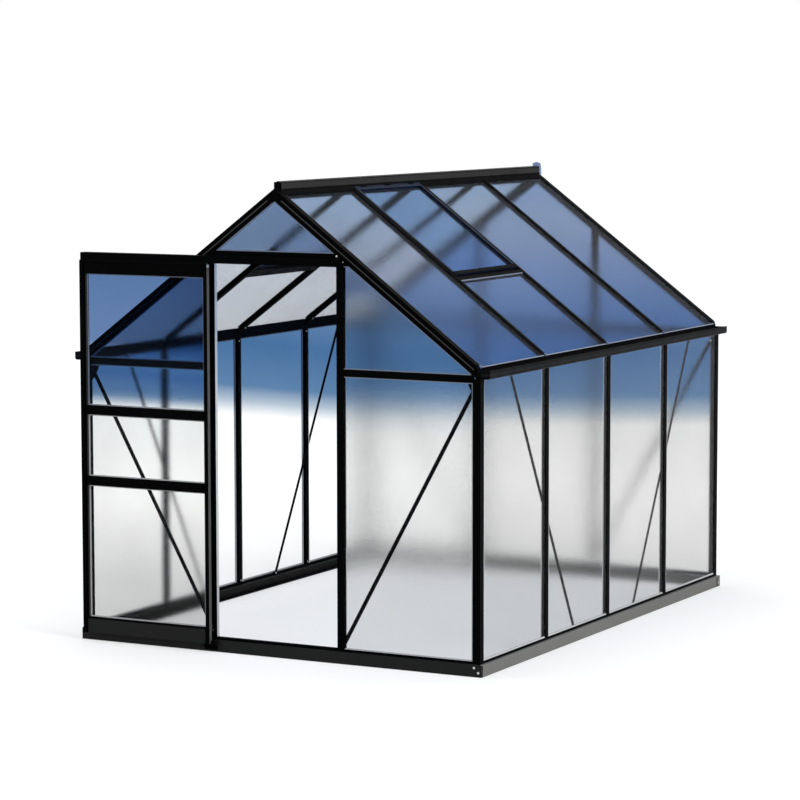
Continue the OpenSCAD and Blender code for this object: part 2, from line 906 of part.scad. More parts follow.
// Hanger plate with a wheel on each side of it
module roller() {
    axle_z = track_z + track_t + roller_gap + roller_d / 2;
    translate([-hanger_w / 2, (door_t - hanger_t) / 2, door_top])
        cube([hanger_w, hanger_t, axle_z + hanger_w / 2 - door_top]);
    for (side = [0, 1])
        translate([0, door_t / 2 + (side * 2 - 1) * hanger_t / 2, axle_z])
            mirror([0, 1 - side, 0]) rotate([-90, 0, 0])
                cylinder(d = roller_d, h = roller_w, $fn = 48);
}

module door_rollers() {
    color("#b9bcc0") place() parked() for (x = [-roller_x, roller_x])
        translate([x, 0, 0]) roller();
}

base_front();
base_back();
base_left();
base_right();
gable_sills();
wall_sills();
corner_posts_front();
corner_posts_back();
door_posts();
back_posts();
studs_left();
studs_right();
gutter_left();
gutter_right();
rafters_front();
rafters_back();
roof_bars_left();
roof_bars_right();
ridge_beam();
ridge_cap();
ridge_end_cap();
door_header();
front_rails();
back_rails();
gable_braces();
wall_braces();
vent_sills();
vent_frame_left();
vent_frame_right();
vent_panes();
roof_panes_left();
roof_panes_right();
wall_panes_left();
wall_panes_right();
front_panes();
back_panes();
door_track();
door_guide();
door_stiles();
door_top_rail();
door_mid_rails();
door_bottom_rail();
door_panes();
door_rollers();
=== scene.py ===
import json
from math import cos, radians, sin, tan

import bmesh
import bpy
from mathutils import Matrix, Vector


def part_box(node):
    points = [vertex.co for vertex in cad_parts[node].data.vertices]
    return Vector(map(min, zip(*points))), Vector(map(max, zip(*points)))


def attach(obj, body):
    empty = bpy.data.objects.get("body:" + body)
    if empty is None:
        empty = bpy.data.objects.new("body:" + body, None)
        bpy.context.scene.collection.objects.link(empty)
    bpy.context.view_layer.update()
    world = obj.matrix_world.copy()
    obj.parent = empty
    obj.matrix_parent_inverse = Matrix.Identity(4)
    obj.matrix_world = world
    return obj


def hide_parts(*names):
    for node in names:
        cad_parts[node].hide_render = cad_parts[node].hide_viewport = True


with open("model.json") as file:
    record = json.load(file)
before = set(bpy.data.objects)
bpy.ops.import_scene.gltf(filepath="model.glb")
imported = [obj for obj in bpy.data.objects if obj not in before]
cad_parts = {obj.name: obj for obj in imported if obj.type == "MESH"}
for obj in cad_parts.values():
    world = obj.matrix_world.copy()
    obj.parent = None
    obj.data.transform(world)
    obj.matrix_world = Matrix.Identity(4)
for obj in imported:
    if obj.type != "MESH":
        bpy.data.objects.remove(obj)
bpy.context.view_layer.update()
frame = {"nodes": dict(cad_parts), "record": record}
nodes = frame["nodes"]
print("frame loaded:", len(nodes), "parts")

# Places that several pieces share, read from the frame
slope = radians(36.7)
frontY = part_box("corner_posts_front")[0].y
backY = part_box("corner_posts_back")[1].y
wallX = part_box("corner_posts_front")[1].x
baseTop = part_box("base_front")[1].z
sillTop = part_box("gable_sills")[1].z
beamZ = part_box("gutter_right")[0].z
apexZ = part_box("ridge_beam")[1].z
headerLow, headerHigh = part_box("door_header")[0].z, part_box("door_header")[1].z
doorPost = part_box("door_posts")[1]
eaveZ = apexZ - wallX * tan(slope)
bayCount = 4
bay = (backY - frontY) / bayCount
wallDepth = 0.020
innerX = wallX - wallDepth
bars = {"stud": 0.030, "roofBar": 0.028, "rafter": 0.035, "roofBarDepth": 0.025}
across, along = Vector((1, 0, 0)), Vector((0, 1, 0))
sides = ((1, "right"), (-1, "left"))
hair = 0.0002  # gap that keeps the faces of two pieces apart


def newMaterial(name):
    mat = bpy.data.materials.new(name)
    mat.use_nodes = True
    mat.node_tree.nodes.clear()
    return mat, mat.node_tree


def addNode(tree, kind, inputs=None, **settings):
    # each input is a number or a colour, or the socket that feeds it
    node = tree.nodes.new("ShaderNode" + kind)
    for key, value in settings.items():
        setattr(node, key, value)
    for key, value in (inputs or {}).items():
        if isinstance(value, bpy.types.NodeSocket):
            tree.links.new(value, node.inputs[key])
        else:
            node.inputs[key].default_value = value
    return node


def placeOn(tree):
    return addNode(tree, "TexCoord").outputs["Object"]


def noiseOn(tree, scale, detail, roughness=0.5):
    noise = addNode(tree, "TexNoise", {"Vector": placeOn(tree), "Scale": scale, "Detail": detail,
                                       "Roughness": roughness})
    return noise.outputs["Fac"]


def spread(tree, source, low, high, fromLow=0.3, fromHigh=0.7):
    span = addNode(tree, "MapRange", {"Value": source, "From Min": fromLow, "From Max": fromHigh,
                                      "To Min": low, "To Max": high})
    return span.outputs["Result"]


def blendColours(tree, source, first, second):
    # first and second are colours, or sockets that carry one
    pair = [c if isinstance(c, bpy.types.NodeSocket) else (*c, 1) for c in (first, second)]
    mix = addNode(tree, "Mix", {"A": pair[0], "B": pair[1], "Factor": source}, data_type="RGBA")
    return mix.outputs["Result"]


rampTop = 2.0  # the colour ramps reach from the ground to this height


def rampOn(tree, source, stops):
    # each stop is a height in metres and its colour
    ramp = addNode(tree, "ValToRGB", {"Fac": spread(tree, source, 0.0, 1.0, 0.0, rampTop)})
    band = ramp.color_ramp
    for height, colour in stops[1:-1]:
        band.elements.new(height / rampTop)
    for element, (height, colour) in zip(band.elements, stops):
        element.position = height / rampTop
        element.color = (*colour, 1)
    return ramp.outputs["Color"]


def heightOn(tree, lean):
    # height of a place, or its distance from a plane that leans a little
    measure = addNode(tree, "VectorMath", {0: placeOn(tree), 1: lean}, operation="DOT_PRODUCT")
    return measure.outputs["Value"]


def widthOn(tree, absolute=False):
    # place across the house, or distance from its middle plane
    width = addNode(tree, "SeparateXYZ", {"Vector": placeOn(tree)}).outputs["X"]
    if absolute:
        width = addNode(tree, "Math", {0: width}, operation="ABSOLUTE").outputs["Value"]
    return width


def paintedMetal(name, look):
    # powder coat: cloudy tone, fine orange peel and a little unevenness in the gloss
    mat, tree = newMaterial(name)
    cloud = spread(tree, noiseOn(tree, look["cloudScale"], detail=4.0), 0.0, 1.0)
    tone = blendColours(tree, cloud, look["colour"], look["second"])
    # colour by height: painted light on every piece that uses it
    if "stops" in look:
        band = rampOn(tree, heightOn(tree, look["lean"]), look["stops"])
        tone = addNode(tree, "VectorMath", {0: tone, 1: band}, operation="MULTIPLY").outputs["Vector"]
    # black near the middle plane: painted shade on the inner faces, while the outer faces stay lighter
    if "paintedShadeWithin" in look:
        outside = spread(tree, widthOn(tree, absolute=True), 0.0, 1.0, *look["paintedShadeWithin"])
        tone = blendColours(tree, outside, blackPaint["colour"], tone)
    rub = noiseOn(tree, look["rubScale"], detail=5.0, roughness=0.6)
    peel = noiseOn(tree, look["peelScale"], detail=2.0)
    bump = addNode(tree, "Bump", {"Strength": look["bump"], "Distance": look["bumpDepth"], "Height": peel})
    shader = addNode(tree, "BsdfPrincipled", {
        "Base Color": tone, "Metallic": look["metallic"], "Specular IOR Level": look["gloss"],
        "Roughness": spread(tree, rub, *look["roughness"]), "Normal": bump.outputs["Normal"]})
    addNode(tree, "OutputMaterial", {"Surface": shader.outputs["BSDF"]})
    return mat


meeting = (-0.02, 0.02)  # the looks of a left and a right half meet over this width


def clearSheet(name, look):
    # polycarbonate: a tint that changes with height, with painted sky in its blues, faint clouds and a fine
    # grain
    mat, tree = newMaterial(name)
    height = heightOn(tree, look["lean"])
    tint = rampOn(tree, height, look["stops"])
    mirror = (*look["mirror"], 1)
    # the left half gets its own colours, painted for the light that shows through it
    if "leftStops" in look:
        rightHalf = spread(tree, widthOn(tree), 0.0, 1.0, *meeting)
        tint = blendColours(tree, rightHalf, rampOn(tree, height, look["leftStops"]), tint)
    if "leftMirror" in look:
        mirror = blendColours(tree, rightHalf, look["leftMirror"], look["mirror"])
    cloud = spread(tree, noiseOn(tree, look["cloudScale"], detail=3.0), 1.0 - look["cloud"], 1.0)
    shade = addNode(tree, "VectorMath", {0: tint, "Scale": cloud}, operation="SCALE").outputs[0]
    # the grain blurs what lies far behind the sheet
    depth = look["grain"]
    if "leftGrain" in look:
        depth = spread(tree, widthOn(tree), look["leftGrain"], depth, *meeting)
    grain = noiseOn(tree, look["grainScale"], detail=0.0)
    bump = addNode(tree, "Bump", {"Strength": 1.0, "Distance": depth, "Height": grain})
    glass = addNode(tree, "BsdfPrincipled", {
        "Base Color": shade, "Transmission Weight": look["clear"], "IOR": look["ior"],
        "Roughness": look["roughness"], "Specular Tint": mirror, "Normal": bump.outputs["Normal"]})
    # lamps and soft light pass straight through, tinted once by each face
    half = addNode(tree, "Gamma", {"Color": shade, "Gamma": 0.5})
    passing = addNode(tree, "BsdfTransparent", {"Color": half.outputs["Color"]}).outputs["BSDF"]
    path = addNode(tree, "LightPath")
    soft = addNode(tree, "MixShader", {
        "Fac": path.outputs["Is Diffuse Ray"], 1: glass.outputs["BSDF"], 2: passing})
    shadow = addNode(tree, "MixShader", {
        "Fac": path.outputs["Is Shadow Ray"], 1: soft.outputs["Shader"], 2: passing})
    addNode(tree, "OutputMaterial", {"Surface": shadow.outputs["Shader"]})
    return mat


# the directions that heights are measured in: for the sheets a little off the upright,
# so their tint and painted sky change across a plane that sinks towards the back
upright = (0, 0, 1)
sheetLean = (-0.05, 0.095, 1.0)
farLean = (-0.05, 0.137, 1.0)
blackPaint = {"colour": (0.0010, 0.0011, 0.0013), "second": (0.0018, 0.0019, 0.0022), "gloss": 0.007,
              "metallic": 0.0, "cloudScale": 3.0, "rubScale": 14.0, "roughness": (0.36, 0.48),
              "bump": 0.18, "bumpDepth": 0.0004, "peelScale": 900.0, "lean": upright}
paints = {
    "frameBlack": blackPaint,
    "doorBlack": dict(blackPaint, second=(0.0020, 0.0021, 0.0024)),
    "braceBlack": dict(blackPaint, roughness=(0.45, 0.55)),
    "baseBlack": dict(blackPaint, colour=(0.0080, 0.0085, 0.0083), second=(0.0100, 0.0105, 0.0103),
                      gloss=0.10, roughness=(0.40, 0.52)),
    # the next two are the base's black paint with painted light: lit grey for its right side, paler for the
    # back rail's inner face
    "basePaintedLitSide": dict(blackPaint, colour=(0.128, 0.130, 0.124), second=(0.148, 0.149, 0.142),
                     gloss=0.14, roughness=(0.38, 0.50)),
    "basePaintedLitBack": dict(blackPaint, colour=(0.34, 0.34, 0.33), second=(0.38, 0.38, 0.37), gloss=0.14,
                     roughness=(0.40, 0.52)),
    # the gutter: a lighter band across its face is a painted highlight, darker below and blue-black above,
    # with its inner side painted black as shade
    "gutterPaintedLight": dict(blackPaint, colour=(0.009, 0.0095, 0.0105), second=(0.012, 0.0125, 0.0138),
                       gloss=0.02, roughness=(0.36, 0.48), paintedShadeWithin=(0.953, 0.954),
                       stops=((0.0, (0.1, 0.1, 0.1)), (1.2185, (0.12, 0.15, 0.24)), (1.2220, (0.9, 0.9, 0.9)),
                              (1.2260, (1, 1, 1)), (1.2320, (1, 1, 1)), (1.2350, (0.12, 0.14, 0.2)),
                              (1.99, (0.12, 0.14, 0.2)))),
    "ridgeGrey": dict(blackPaint, colour=(0.017, 0.0170, 0.0168), second=(0.022, 0.0220, 0.0216),
                      gloss=0.04, roughness=(0.40, 0.52)),
    "ventBlue": dict(blackPaint, colour=(0.003, 0.0075, 0.019), second=(0.005, 0.010, 0.024), gloss=0.06),
    # grey for painted light: a highlight on the rafters' ribs and the lit inner side of the door's left stile
    "greyPaintedLight": dict(blackPaint, colour=(0.024, 0.023, 0.022), second=(0.034, 0.033, 0.032),
                     gloss=0.2, roughness=(0.34, 0.44)),
    # painted light: the lit side face of the door's right stile
    "stripPaintedLitSide": dict(blackPaint, colour=(0.058, 0.058, 0.058), second=(0.080, 0.080, 0.080),
                      gloss=0.2, roughness=(0.34, 0.46)),
    # painted highlight on the door posts' inner faces, darker low down and bluish high up as painted sky
    "jambPaintedHighlight": dict(blackPaint, colour=(0.86, 0.88, 0.90), second=(0.94, 0.95, 0.96), gloss=0.5,
                     metallic=1.0, roughness=(0.30, 0.42), lean=sheetLean,
                     stops=((0.0, (0.55, 0.55, 0.55)), (0.30, (0.80, 0.80, 0.80)), (0.92, (0.92, 0.92, 0.92)),
                            (1.30, (0.75, 0.79, 0.84)), (1.90, (0.75, 0.79, 0.84)))),
    "endCapBlue": dict(blackPaint, colour=(0.13, 0.19, 0.34), second=(0.17, 0.24, 0.41), gloss=0.2,
                       roughness=(0.4, 0.52), peelScale=500.0),
    "rubberBlack": dict(blackPaint, gloss=0.03, roughness=(0.62, 0.75), peelScale=600.0),
    # the seals' pale lines are partly real edge strips and partly painted highlight; their blue high up is
    # painted sky
    "sealAndPaintedHighlight": dict(blackPaint, colour=(0.50, 0.505, 0.51), second=(0.56, 0.565, 0.57), gloss=0.3,
                     roughness=(0.30, 0.42), peelScale=500.0, cloudScale=6.0, lean=sheetLean,
                     stops=((0.0, (0.98, 0.98, 0.98)), (0.90, (0.98, 0.98, 0.98)), (0.97, (0.30, 0.37, 0.50)),
                            (1.90, (0.28, 0.35, 0.50)))),
    # painted highlight along the studs' inner edges, bluish high up as painted sky
    "lipPaintedHighlight": dict(blackPaint, colour=(0.90, 0.91, 0.92), second=(0.98, 0.98, 0.98), gloss=0.5,
                    metallic=1.0, roughness=(0.30, 0.42), peelScale=500.0, cloudScale=6.0, lean=sheetLean,
                    stops=((0.0, (0.98, 0.98, 0.98)), (0.90, (0.98, 0.98, 0.98)), (0.97, (0.40, 0.50, 0.64)),
                           (1.90, (0.36, 0.46, 0.62)))),
    # the roof's and vents' seals: dim blue, partly real strips and partly painted sky
    "sealAndPaintedSky": dict(blackPaint, colour=(0.145, 0.18, 0.255), second=(0.175, 0.21, 0.29), gloss=0.3,
                    roughness=(0.30, 0.42), cloudScale=6.0),
    "zincBolt": dict(blackPaint, colour=(0.55, 0.55, 0.54), second=(0.68, 0.68, 0.66), gloss=0.5,
                     metallic=1.0, roughness=(0.26, 0.40), cloudScale=40.0),
    "rollerSteel": dict(blackPaint, colour=(0.46, 0.47, 0.49), second=(0.56, 0.57, 0.59), gloss=0.5,
                        metallic=1.0, roughness=(0.25, 0.38), cloudScale=30.0),
}
# the sheets' mirror tint is bluish, painting sky into their reflections
sheetLook = {"cloud": 0.05, "cloudScale": 2.2, "ior": 1.09, "roughness": 0.15, "clear": 0.997,
             "mirror": (0.30, 0.34, 0.40), "grain": 0.00026, "grainScale": 320.0, "lean": sheetLean}
# each sheet's blues high up are painted sky, reflected in and seen through it; the greys lower down differ
# from sheet to sheet
sheets = {
    # the front gable, whose left half stands behind the open door
    "frontSheet": dict(sheetLook, grain=0.00055, leftGrain=0.00016, grainScale=700.0, stops=(
        (0.0, (0.79, 0.79, 0.785)), (0.88, (0.78, 0.785, 0.78)), (0.97, (0.77, 0.81, 0.85)),
        (1.30, (0.74, 0.80, 0.86)), (1.42, (0.27, 0.375, 0.60)), (1.90, (0.27, 0.38, 0.57))),
                       leftStops=(
        (0.0, (0.96, 0.96, 0.95)), (0.88, (0.95, 0.955, 0.95)), (0.97, (0.78, 0.82, 0.86)),
        (1.30, (0.74, 0.80, 0.86)), (1.50, (0.68, 0.76, 0.86)), (1.60, (0.27, 0.38, 0.57)),
        (1.90, (0.27, 0.38, 0.57)))),
    # the right wall
    "nearSheet": dict(sheetLook, stops=(
        (0.0, (0.70, 0.70, 0.69)), (0.88, (0.69, 0.69, 0.685)), (0.97, (0.72, 0.75, 0.79)),
        (1.30, (0.70, 0.76, 0.83)), (1.42, (0.27, 0.375, 0.60)), (1.90, (0.27, 0.38, 0.57)))),
    # the back gable and the left wall
    "farSheet": dict(sheetLook, lean=farLean, stops=(
        (0.0, (0.975, 0.975, 0.965)), (0.90, (0.965, 0.97, 0.965)), (0.966, (0.44, 0.53, 0.62)),
        (1.04, (0.11, 0.22, 0.39)), (1.25, (0.065, 0.165, 0.345)), (1.55, (0.17, 0.27, 0.45)),
        (1.90, (0.38, 0.45, 0.58)))),
    # the door's bands of blue, with a paler band near 1.2 m, are painted reflection of the sky
    "doorSheet": dict(sheetLook, lean=upright, ior=1.11, grain=0.00017, stops=(
        (0.0, (0.70, 0.70, 0.70)), (0.28, (0.76, 0.76, 0.755)), (0.60, (0.90, 0.90, 0.89)),
        (1.03, (0.88, 0.89, 0.90)), (1.07, (0.30, 0.43, 0.60)), (1.10, (0.24, 0.41, 0.66)),
        (1.14, (0.38, 0.56, 0.82)), (1.19, (0.62, 0.78, 0.94)), (1.23, (0.44, 0.58, 0.78)),
        (1.30, (0.13, 0.22, 0.42)), (1.60, (0.10, 0.185, 0.37)))),
    # the roof's blue mirror tint paints sky into its reflections; its left slope is painted greyer
    "roofSheet": dict(sheetLook, lean=upright, cloud=0.12, cloudScale=1.6, ior=1.045, grain=0.00040,
                      mirror=(0.08, 0.12, 0.25), leftMirror=(0.60, 0.63, 0.70), stops=(
        (1.20, (0.46, 0.60, 0.86)), (1.45, (0.58, 0.66, 0.84)), (1.70, (0.58, 0.66, 0.81)),
        (1.95, (0.48, 0.64, 0.86))),
                      leftStops=(
        (1.20, (0.60, 0.63, 0.67)), (1.55, (0.56, 0.60, 0.66)), (1.95, (0.58, 0.63, 0.69)))),
}
# the vents' sheets: the roof's look with bluer painted sky
sheets["ventSheet"] = dict(sheets["roofSheet"],
                           stops=((1.20, (0.30, 0.46, 0.76)), (1.95, (0.31, 0.48, 0.76))))
made = {name: paintedMetal(name, look) for name, look in paints.items()}
made.update({name: clearSheet(name, look) for name, look in sheets.items()})

finishOfSlot = {
    # the base's slot gets the painted lit grey, which stays on the right rail
    "frame_black": "frameBlack", "base_black": "basePaintedLitSide", "gutter_black": "gutterPaintedLight",
    "ridge_grey": "ridgeGrey", "end_cap_grey": "endCapBlue", "vent_dark_blue": "ventBlue",
    "brace_black": "braceBlack", "door_black": "doorBlack", "roof_sheet": "roofSheet",
    "wall_sheet": "nearSheet", "door_sheet": "doorSheet", "roller_steel": "rollerSteel",
}
# pieces whose finish differs from their slot's
ownFinish = {
    # the base's front and left rails keep the black paint, its back rail gets the paler painted light
    "base_front": "baseBlack", "base_back": "basePaintedLitBack", "base_left": "baseBlack",
    "door_bottom_rail": "baseBlack", "back_panes": "farSheet", "wall_panes_left": "farSheet",
    "front_panes": "frontSheet", "vent_panes": "ventSheet",
}
for part in frame["record"]["subparts"]:
    materials = nodes[part["node"]].data.materials
    materials.clear()
    materials.append(made[ownFinish.get(part["node"], finishOfSlot[part["material_slot"]])])
print("finishes made:", len(made))


def pourInto(target, bm):
    scratch = bpy.data.meshes.new("scratch")
    bm.to_mesh(scratch)
    bm.free()
    target.from_mesh(scratch)
    bpy.data.meshes.remove(scratch)


def placeNew(name, data):
    thing = bpy.data.objects.new(name, data)
    bpy.context.scene.collection.objects.link(thing)
    return thing


softEdge = {"segments": 2, "angle": radians(35)}


def finishPiece(bm, name, material, body="house", bevel=0.0):
    bmesh.ops.remove_doubles(bm, verts=bm.verts, dist=1e-6)
    bmesh.ops.recalc_face_normals(bm, faces=bm.faces)
    mesh = bpy.data.meshes.new(name)
    bm.to_mesh(mesh)
    bm.free()
    mesh.materials.append(made[material])
    piece = placeNew(name, mesh)
    if bevel:
        edge = piece.modifiers.new("edges", "BEVEL")
        edge.width = bevel
        edge.segments = softEdge["segments"]
        edge.limit_method = "ANGLE"
        edge.angle_limit = softEdge["angle"]
    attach(piece, body)
    return piece


def onSlope(side):
    # frame of one roof slope: X down the slope from the ridge, Z out of the roof
    turned = Matrix.Translation((0, 0, apexZ)) @ Matrix.Rotation(slope, 4, "Y")
    return turned if side > 0 else Matrix.Scale(-1, 4, (1, 0, 0)) @ turned


def onSide(x, outward):
    # frame of a plate that faces along X: its own X runs along the house, its Y is up
    return Matrix(((0, 0, outward, x), (1, 0, 0, 0), (0, 1, 0, 0), (0, 0, 0, 1)))


def facing(at, direction):
    return Matrix.Translation(at) @ Vector(direction).to_track_quat("Z", "Y").to_matrix().to_4x4()


def addBox(bm, low, high, turn=None):
    low, high = Vector(low), Vector(high)
    box = bmesh.ops.create_cube(bm, size=1.0)["verts"]
    bmesh.ops.scale(bm, verts=box, vec=high - low)
    bmesh.ops.translate(bm, verts=box, vec=(low + high) / 2)
    if turn is not None:
        bmesh.ops.transform(bm, verts=box, matrix=turn)


def addRound(bm, radius, height, sidesRound, turn, topRadius=None):
    bmesh.ops.create_cone(bm, cap_ends=True, segments=sidesRound, radius1=radius,
                          radius2=radius if topRadius is None else topRadius, depth=height,
                          matrix=turn @ Matrix.Translation((0, 0, height / 2)))


def thicken(bm, by):
    # gives flat faces their thickness
    raised = bmesh.ops.extrude_face_region(bm, geom=bm.faces[:], use_keep_orig=True)["geom"]
    bmesh.ops.translate(bm, verts=[g for g in raised if isinstance(g, bmesh.types.BMVert)], vec=by)
    bmesh.ops.recalc_face_normals(bm, faces=bm.faces)


rivet = {"radius": 0.0026, "height": 0.0012, "sides": 10, "topShare": 0.55}
bolt = {"washer": 0.0062, "washerHeight": 0.0010, "head": 0.0046, "headHeight": 0.0032, "taper": 0.0036,
        "straightShare": 0.7}


def addPlate(target, corners, thickness, turn, corner=0.003, rivets=()):
    # flat plate with rounded corners, drawn in the XY plane of its own frame, with domed rivets
    bm = bmesh.new()
    bm.faces.new([bm.verts.new((x, y, 0)) for x, y in corners])
    if corner:
        bmesh.ops.bevel(bm, geom=bm.verts[:], offset=corner, segments=3, affect="VERTICES",
                        profile=0.5, material=-1)
    thicken(bm, (0, 0, thickness))
    bmesh.ops.transform(bm, verts=bm.verts, matrix=turn)
    pourInto(target, bm)
    for x, y in rivets:
        addRound(target, rivet["radius"], rivet["height"], rivet["sides"],
                 turn @ Matrix.Translation((x, y, thickness)), rivet["radius"] * rivet["topShare"])


def fourCorners(xs, ys):
    return [(xs[0], ys[0]), (xs[1], ys[0]), (xs[1], ys[1]), (xs[0], ys[1])]


def addBolt(bm, at, direction, size):
    # washer and six-sided head with a tapered top
    turn = facing(at, direction)
    addRound(bm, bolt["washer"] * size, bolt["washerHeight"], 12, turn)
    base = turn @ Matrix.Translation((0, 0, bolt["washerHeight"]))
    low = bolt["headHeight"] * bolt["straightShare"]
    addRound(bm, bolt["head"] * size, low, 6, base)
    addRound(bm, bolt["head"] * size, bolt["headHeight"] - low, 6,
             base @ Matrix.Translation((0, 0, low)), bolt["taper"] * size)


seal = {"width": 0.0046, "wallWidth": 0.0066, "height": 0.0011, "leastArea": 0.02, "bareShare": 1.5}
# how far each kind of bar laps over a sheet's edge
bite = {"post": 0.010, "rail": 0.007, "sill": 0.005, "eave": 0.0002, "doorLeft": 0.0187}
# heights that tell the edges at one bar from those at another
zone = {"sill": sillTop + 0.02, "rail": headerLow - 0.1, "ventHead": apexZ - 0.16,
        "ridge": apexZ - 0.12, "eave": eaveZ + 0.1}
doorMiddle = sum(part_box("door_stiles"), Vector()).x / 2


def sheetFaces(node, outward):
    # the sheets' faces on one side, each as one face
    bm = bmesh.new()
    bm.from_mesh(nodes[node].data)
    bmesh.ops.remove_doubles(bm, verts=bm.verts, dist=1e-5)
    bmesh.ops.dissolve_limit(bm, angle_limit=radians(1), verts=bm.verts, edges=bm.edges)
    faces = [[v.co.copy() for v in f.verts] for f in bm.faces
             if f.normal.dot(outward) > 0.99 and f.calc_area() > seal["leastArea"]]
    bm.free()
    return faces


def addSeal(target, corners, outward, biteOf, width, bareSide):
    # visible outline of one sheet, made into a thin lip along its edges
    bm = bmesh.new()
    bm.faces.new([bm.verts.new(c) for c in corners])
    centre = sum(corners, Vector()) / len(corners)
    for i, start in enumerate(corners):
        end = corners[(i + 1) % len(corners)]
        away = (end - start).cross(outward).normalized()
        if away.dot(centre - start) > 0:
            away = -away
        hidden = biteOf((start + end) / 2, (end - start).normalized())
        bmesh.ops.bisect_plane(bm, geom=bm.verts[:] + bm.edges[:] + bm.faces[:], dist=1e-6,
                               plane_co=start - away * hidden, plane_no=away, clear_outer=True)
    inner = bm.faces[:]
    bmesh.ops.inset_region(bm, faces=inner, thickness=width, use_even_offset=True, use_boundary=True)
    bmesh.ops.delete(bm, geom=inner, context="FACES_ONLY")
    if bareSide:
        # no lip along the edge that the bars hide
        edge = max(v.co.dot(bareSide) for v in bm.verts) - width * seal["bareShare"]
        bare = [f for f in bm.faces if all(v.co.dot(bareSide) > edge for v in f.verts)]
        bmesh.ops.delete(bm, geom=bare, context="FACES")
    thicken(bm, outward * seal["height"])
    pourInto(target, bm)


def rises(direction):
    return abs(direction.z) > 0.1


def runsAlong(direction):
    return abs(direction.y) > 0.9


def gableBite(middle, direction):
    if rises(direction):
        return bite["post"]
    if middle.z < zone["sill"]:
        return bite["sill"]
    return bite["rail"] if middle.z < zone["rail"] else bite["post"]


def wallBite(middle, direction):
    return bite["post"] if rises(direction) else bite["sill"]


def doorBite(middle, direction):
    return bite["doorLeft"] if rises(direction) and middle.x < doorMiddle else bite["post"]


def ventBite(middle, direction):
    return bite["eave"] if runsAlong(direction) and middle.z > zone["ventHead"] else bite["post"]


def roofBite(middle, direction):
    # edges along the house are free at the ridge and the eaves, and held at the vent's sill
    held = zone["eave"] < middle.z <= zone["ridge"]
    return bite["eave"] if runsAlong(direction) and not held else bite["post"]


def sealsOn(name, node, directions, biteOf, body="house", material="sealAndPaintedHighlight", bareSide=None):
    bm = bmesh.new()
    for outward in directions:
        width = seal["wallWidth" if abs(outward.x) > 0.9 else "width"]
        for corners in sheetFaces(node, outward):
            addSeal(bm, corners, outward, biteOf, width, bareSide)
    return finishPiece(bm, name, material, body)


slopeUp = {"right": Vector((sin(slope), 0, cos(slope))), "left": Vector((-sin(slope), 0, cos(slope)))}
sealsOn("seals_front", "front_panes", (along, -along), gableBite, bareSide=-across)
sealsOn("seals_back", "back_panes", (along, -along), gableBite)
for side, sideName in sides:
    sealsOn("seals_wall_" + sideName, "wall_panes_" + sideName, (across, -across), wallBite,
            bareSide=along if side > 0 else None)
    sealsOn("seals_roof_" + sideName, "roof_panes_" + sideName,
            (slopeUp[sideName], -slopeUp[sideName]), roofBite, material="sealAndPaintedSky",
            bareSide=along)
sealsOn("seals_vents", "vent_panes", tuple(slopeUp.values()), ventBite, material="sealAndPaintedSky",
        bareSide=along)
sealsOn("seals_door", "door_panes", (along, -along), doorBite, "door")

barHighlight = {"reach": 0.0038, "thick": 0.0030, "edge": 0.0008, "endGap": 0.001, "postEdge": 0.0004}


def buildBarHighlights():
    # pale strips along the studs' and right door post's inner edges, where the inner seals end: painted
    # highlights, bluish high up as painted sky
    bm = bmesh.new()
    thick = barHighlight["thick"]
    low = sillTop + barHighlight["endGap"]
    for side in (1, -1):
        xs = sorted((side * (innerX - hair), side * (innerX - barHighlight["reach"])))
        for i in range(1, bayCount):
            y = frontY + i * bay - side * (bars["stud"] - thick - barHighlight["edge"]) / 2 - thick / 2
            addBox(bm, (xs[0], y, low), (xs[1], y + thick, beamZ - barHighlight["endGap"]))
    x = doorPost.x - barHighlight["postEdge"]
    addBox(bm, (x - thick, doorPost.y + hair, low),
           (x, doorPost.y + barHighlight["reach"], headerLow - barHighlight["endGap"]))
    finishPiece(bm, "bar_highlights", "lipPaintedHighlight")


buildBarHighlights()
print("seals laid")

gutter = {"sheet": 0.0025, "out": 0.042, "rise": 0.002, "height": 0.032, "slotTop": 0.006,
          "lip": 0.0022, "groove": 0.0046, "round": 0.009, "roundSegments": 4, "innerRound": 0.7,
          "rimRadius": 0.0024, "rimShort": 0.001, "endStep": 0.0004}
strap = {"half": 0.009, "faces": (0.006, 0.0045)}  # its faces are so far below the rim
underPane = {"depth": 0.0065, "gap": 0.0003}


def underRoof(x):
    return apexZ - x * tan(slope) - underPane["depth"] / cos(slope) - underPane["gap"]


def extrudeSection(points, length, rounded):
    # section in X and Z, made long along Y; rounded maps a corner's number to its radius
    bm = bmesh.new()
    bm.faces.new([bm.verts.new((x, 0, z)) for x, z in points])
    thicken(bm, (0, length, 0))
    for number, radius in rounded.items():
        x, z = points[number]
        edges = [e for e in bm.edges if all((v.co.x - x) ** 2 + (v.co.z - z) ** 2 < 1e-10
                                            for v in e.verts)]
        bmesh.ops.bevel(bm, geom=edges, offset=radius, segments=gutter["roundSegments"],
                        affect="EDGES", profile=0.5, material=-1)
    return bm


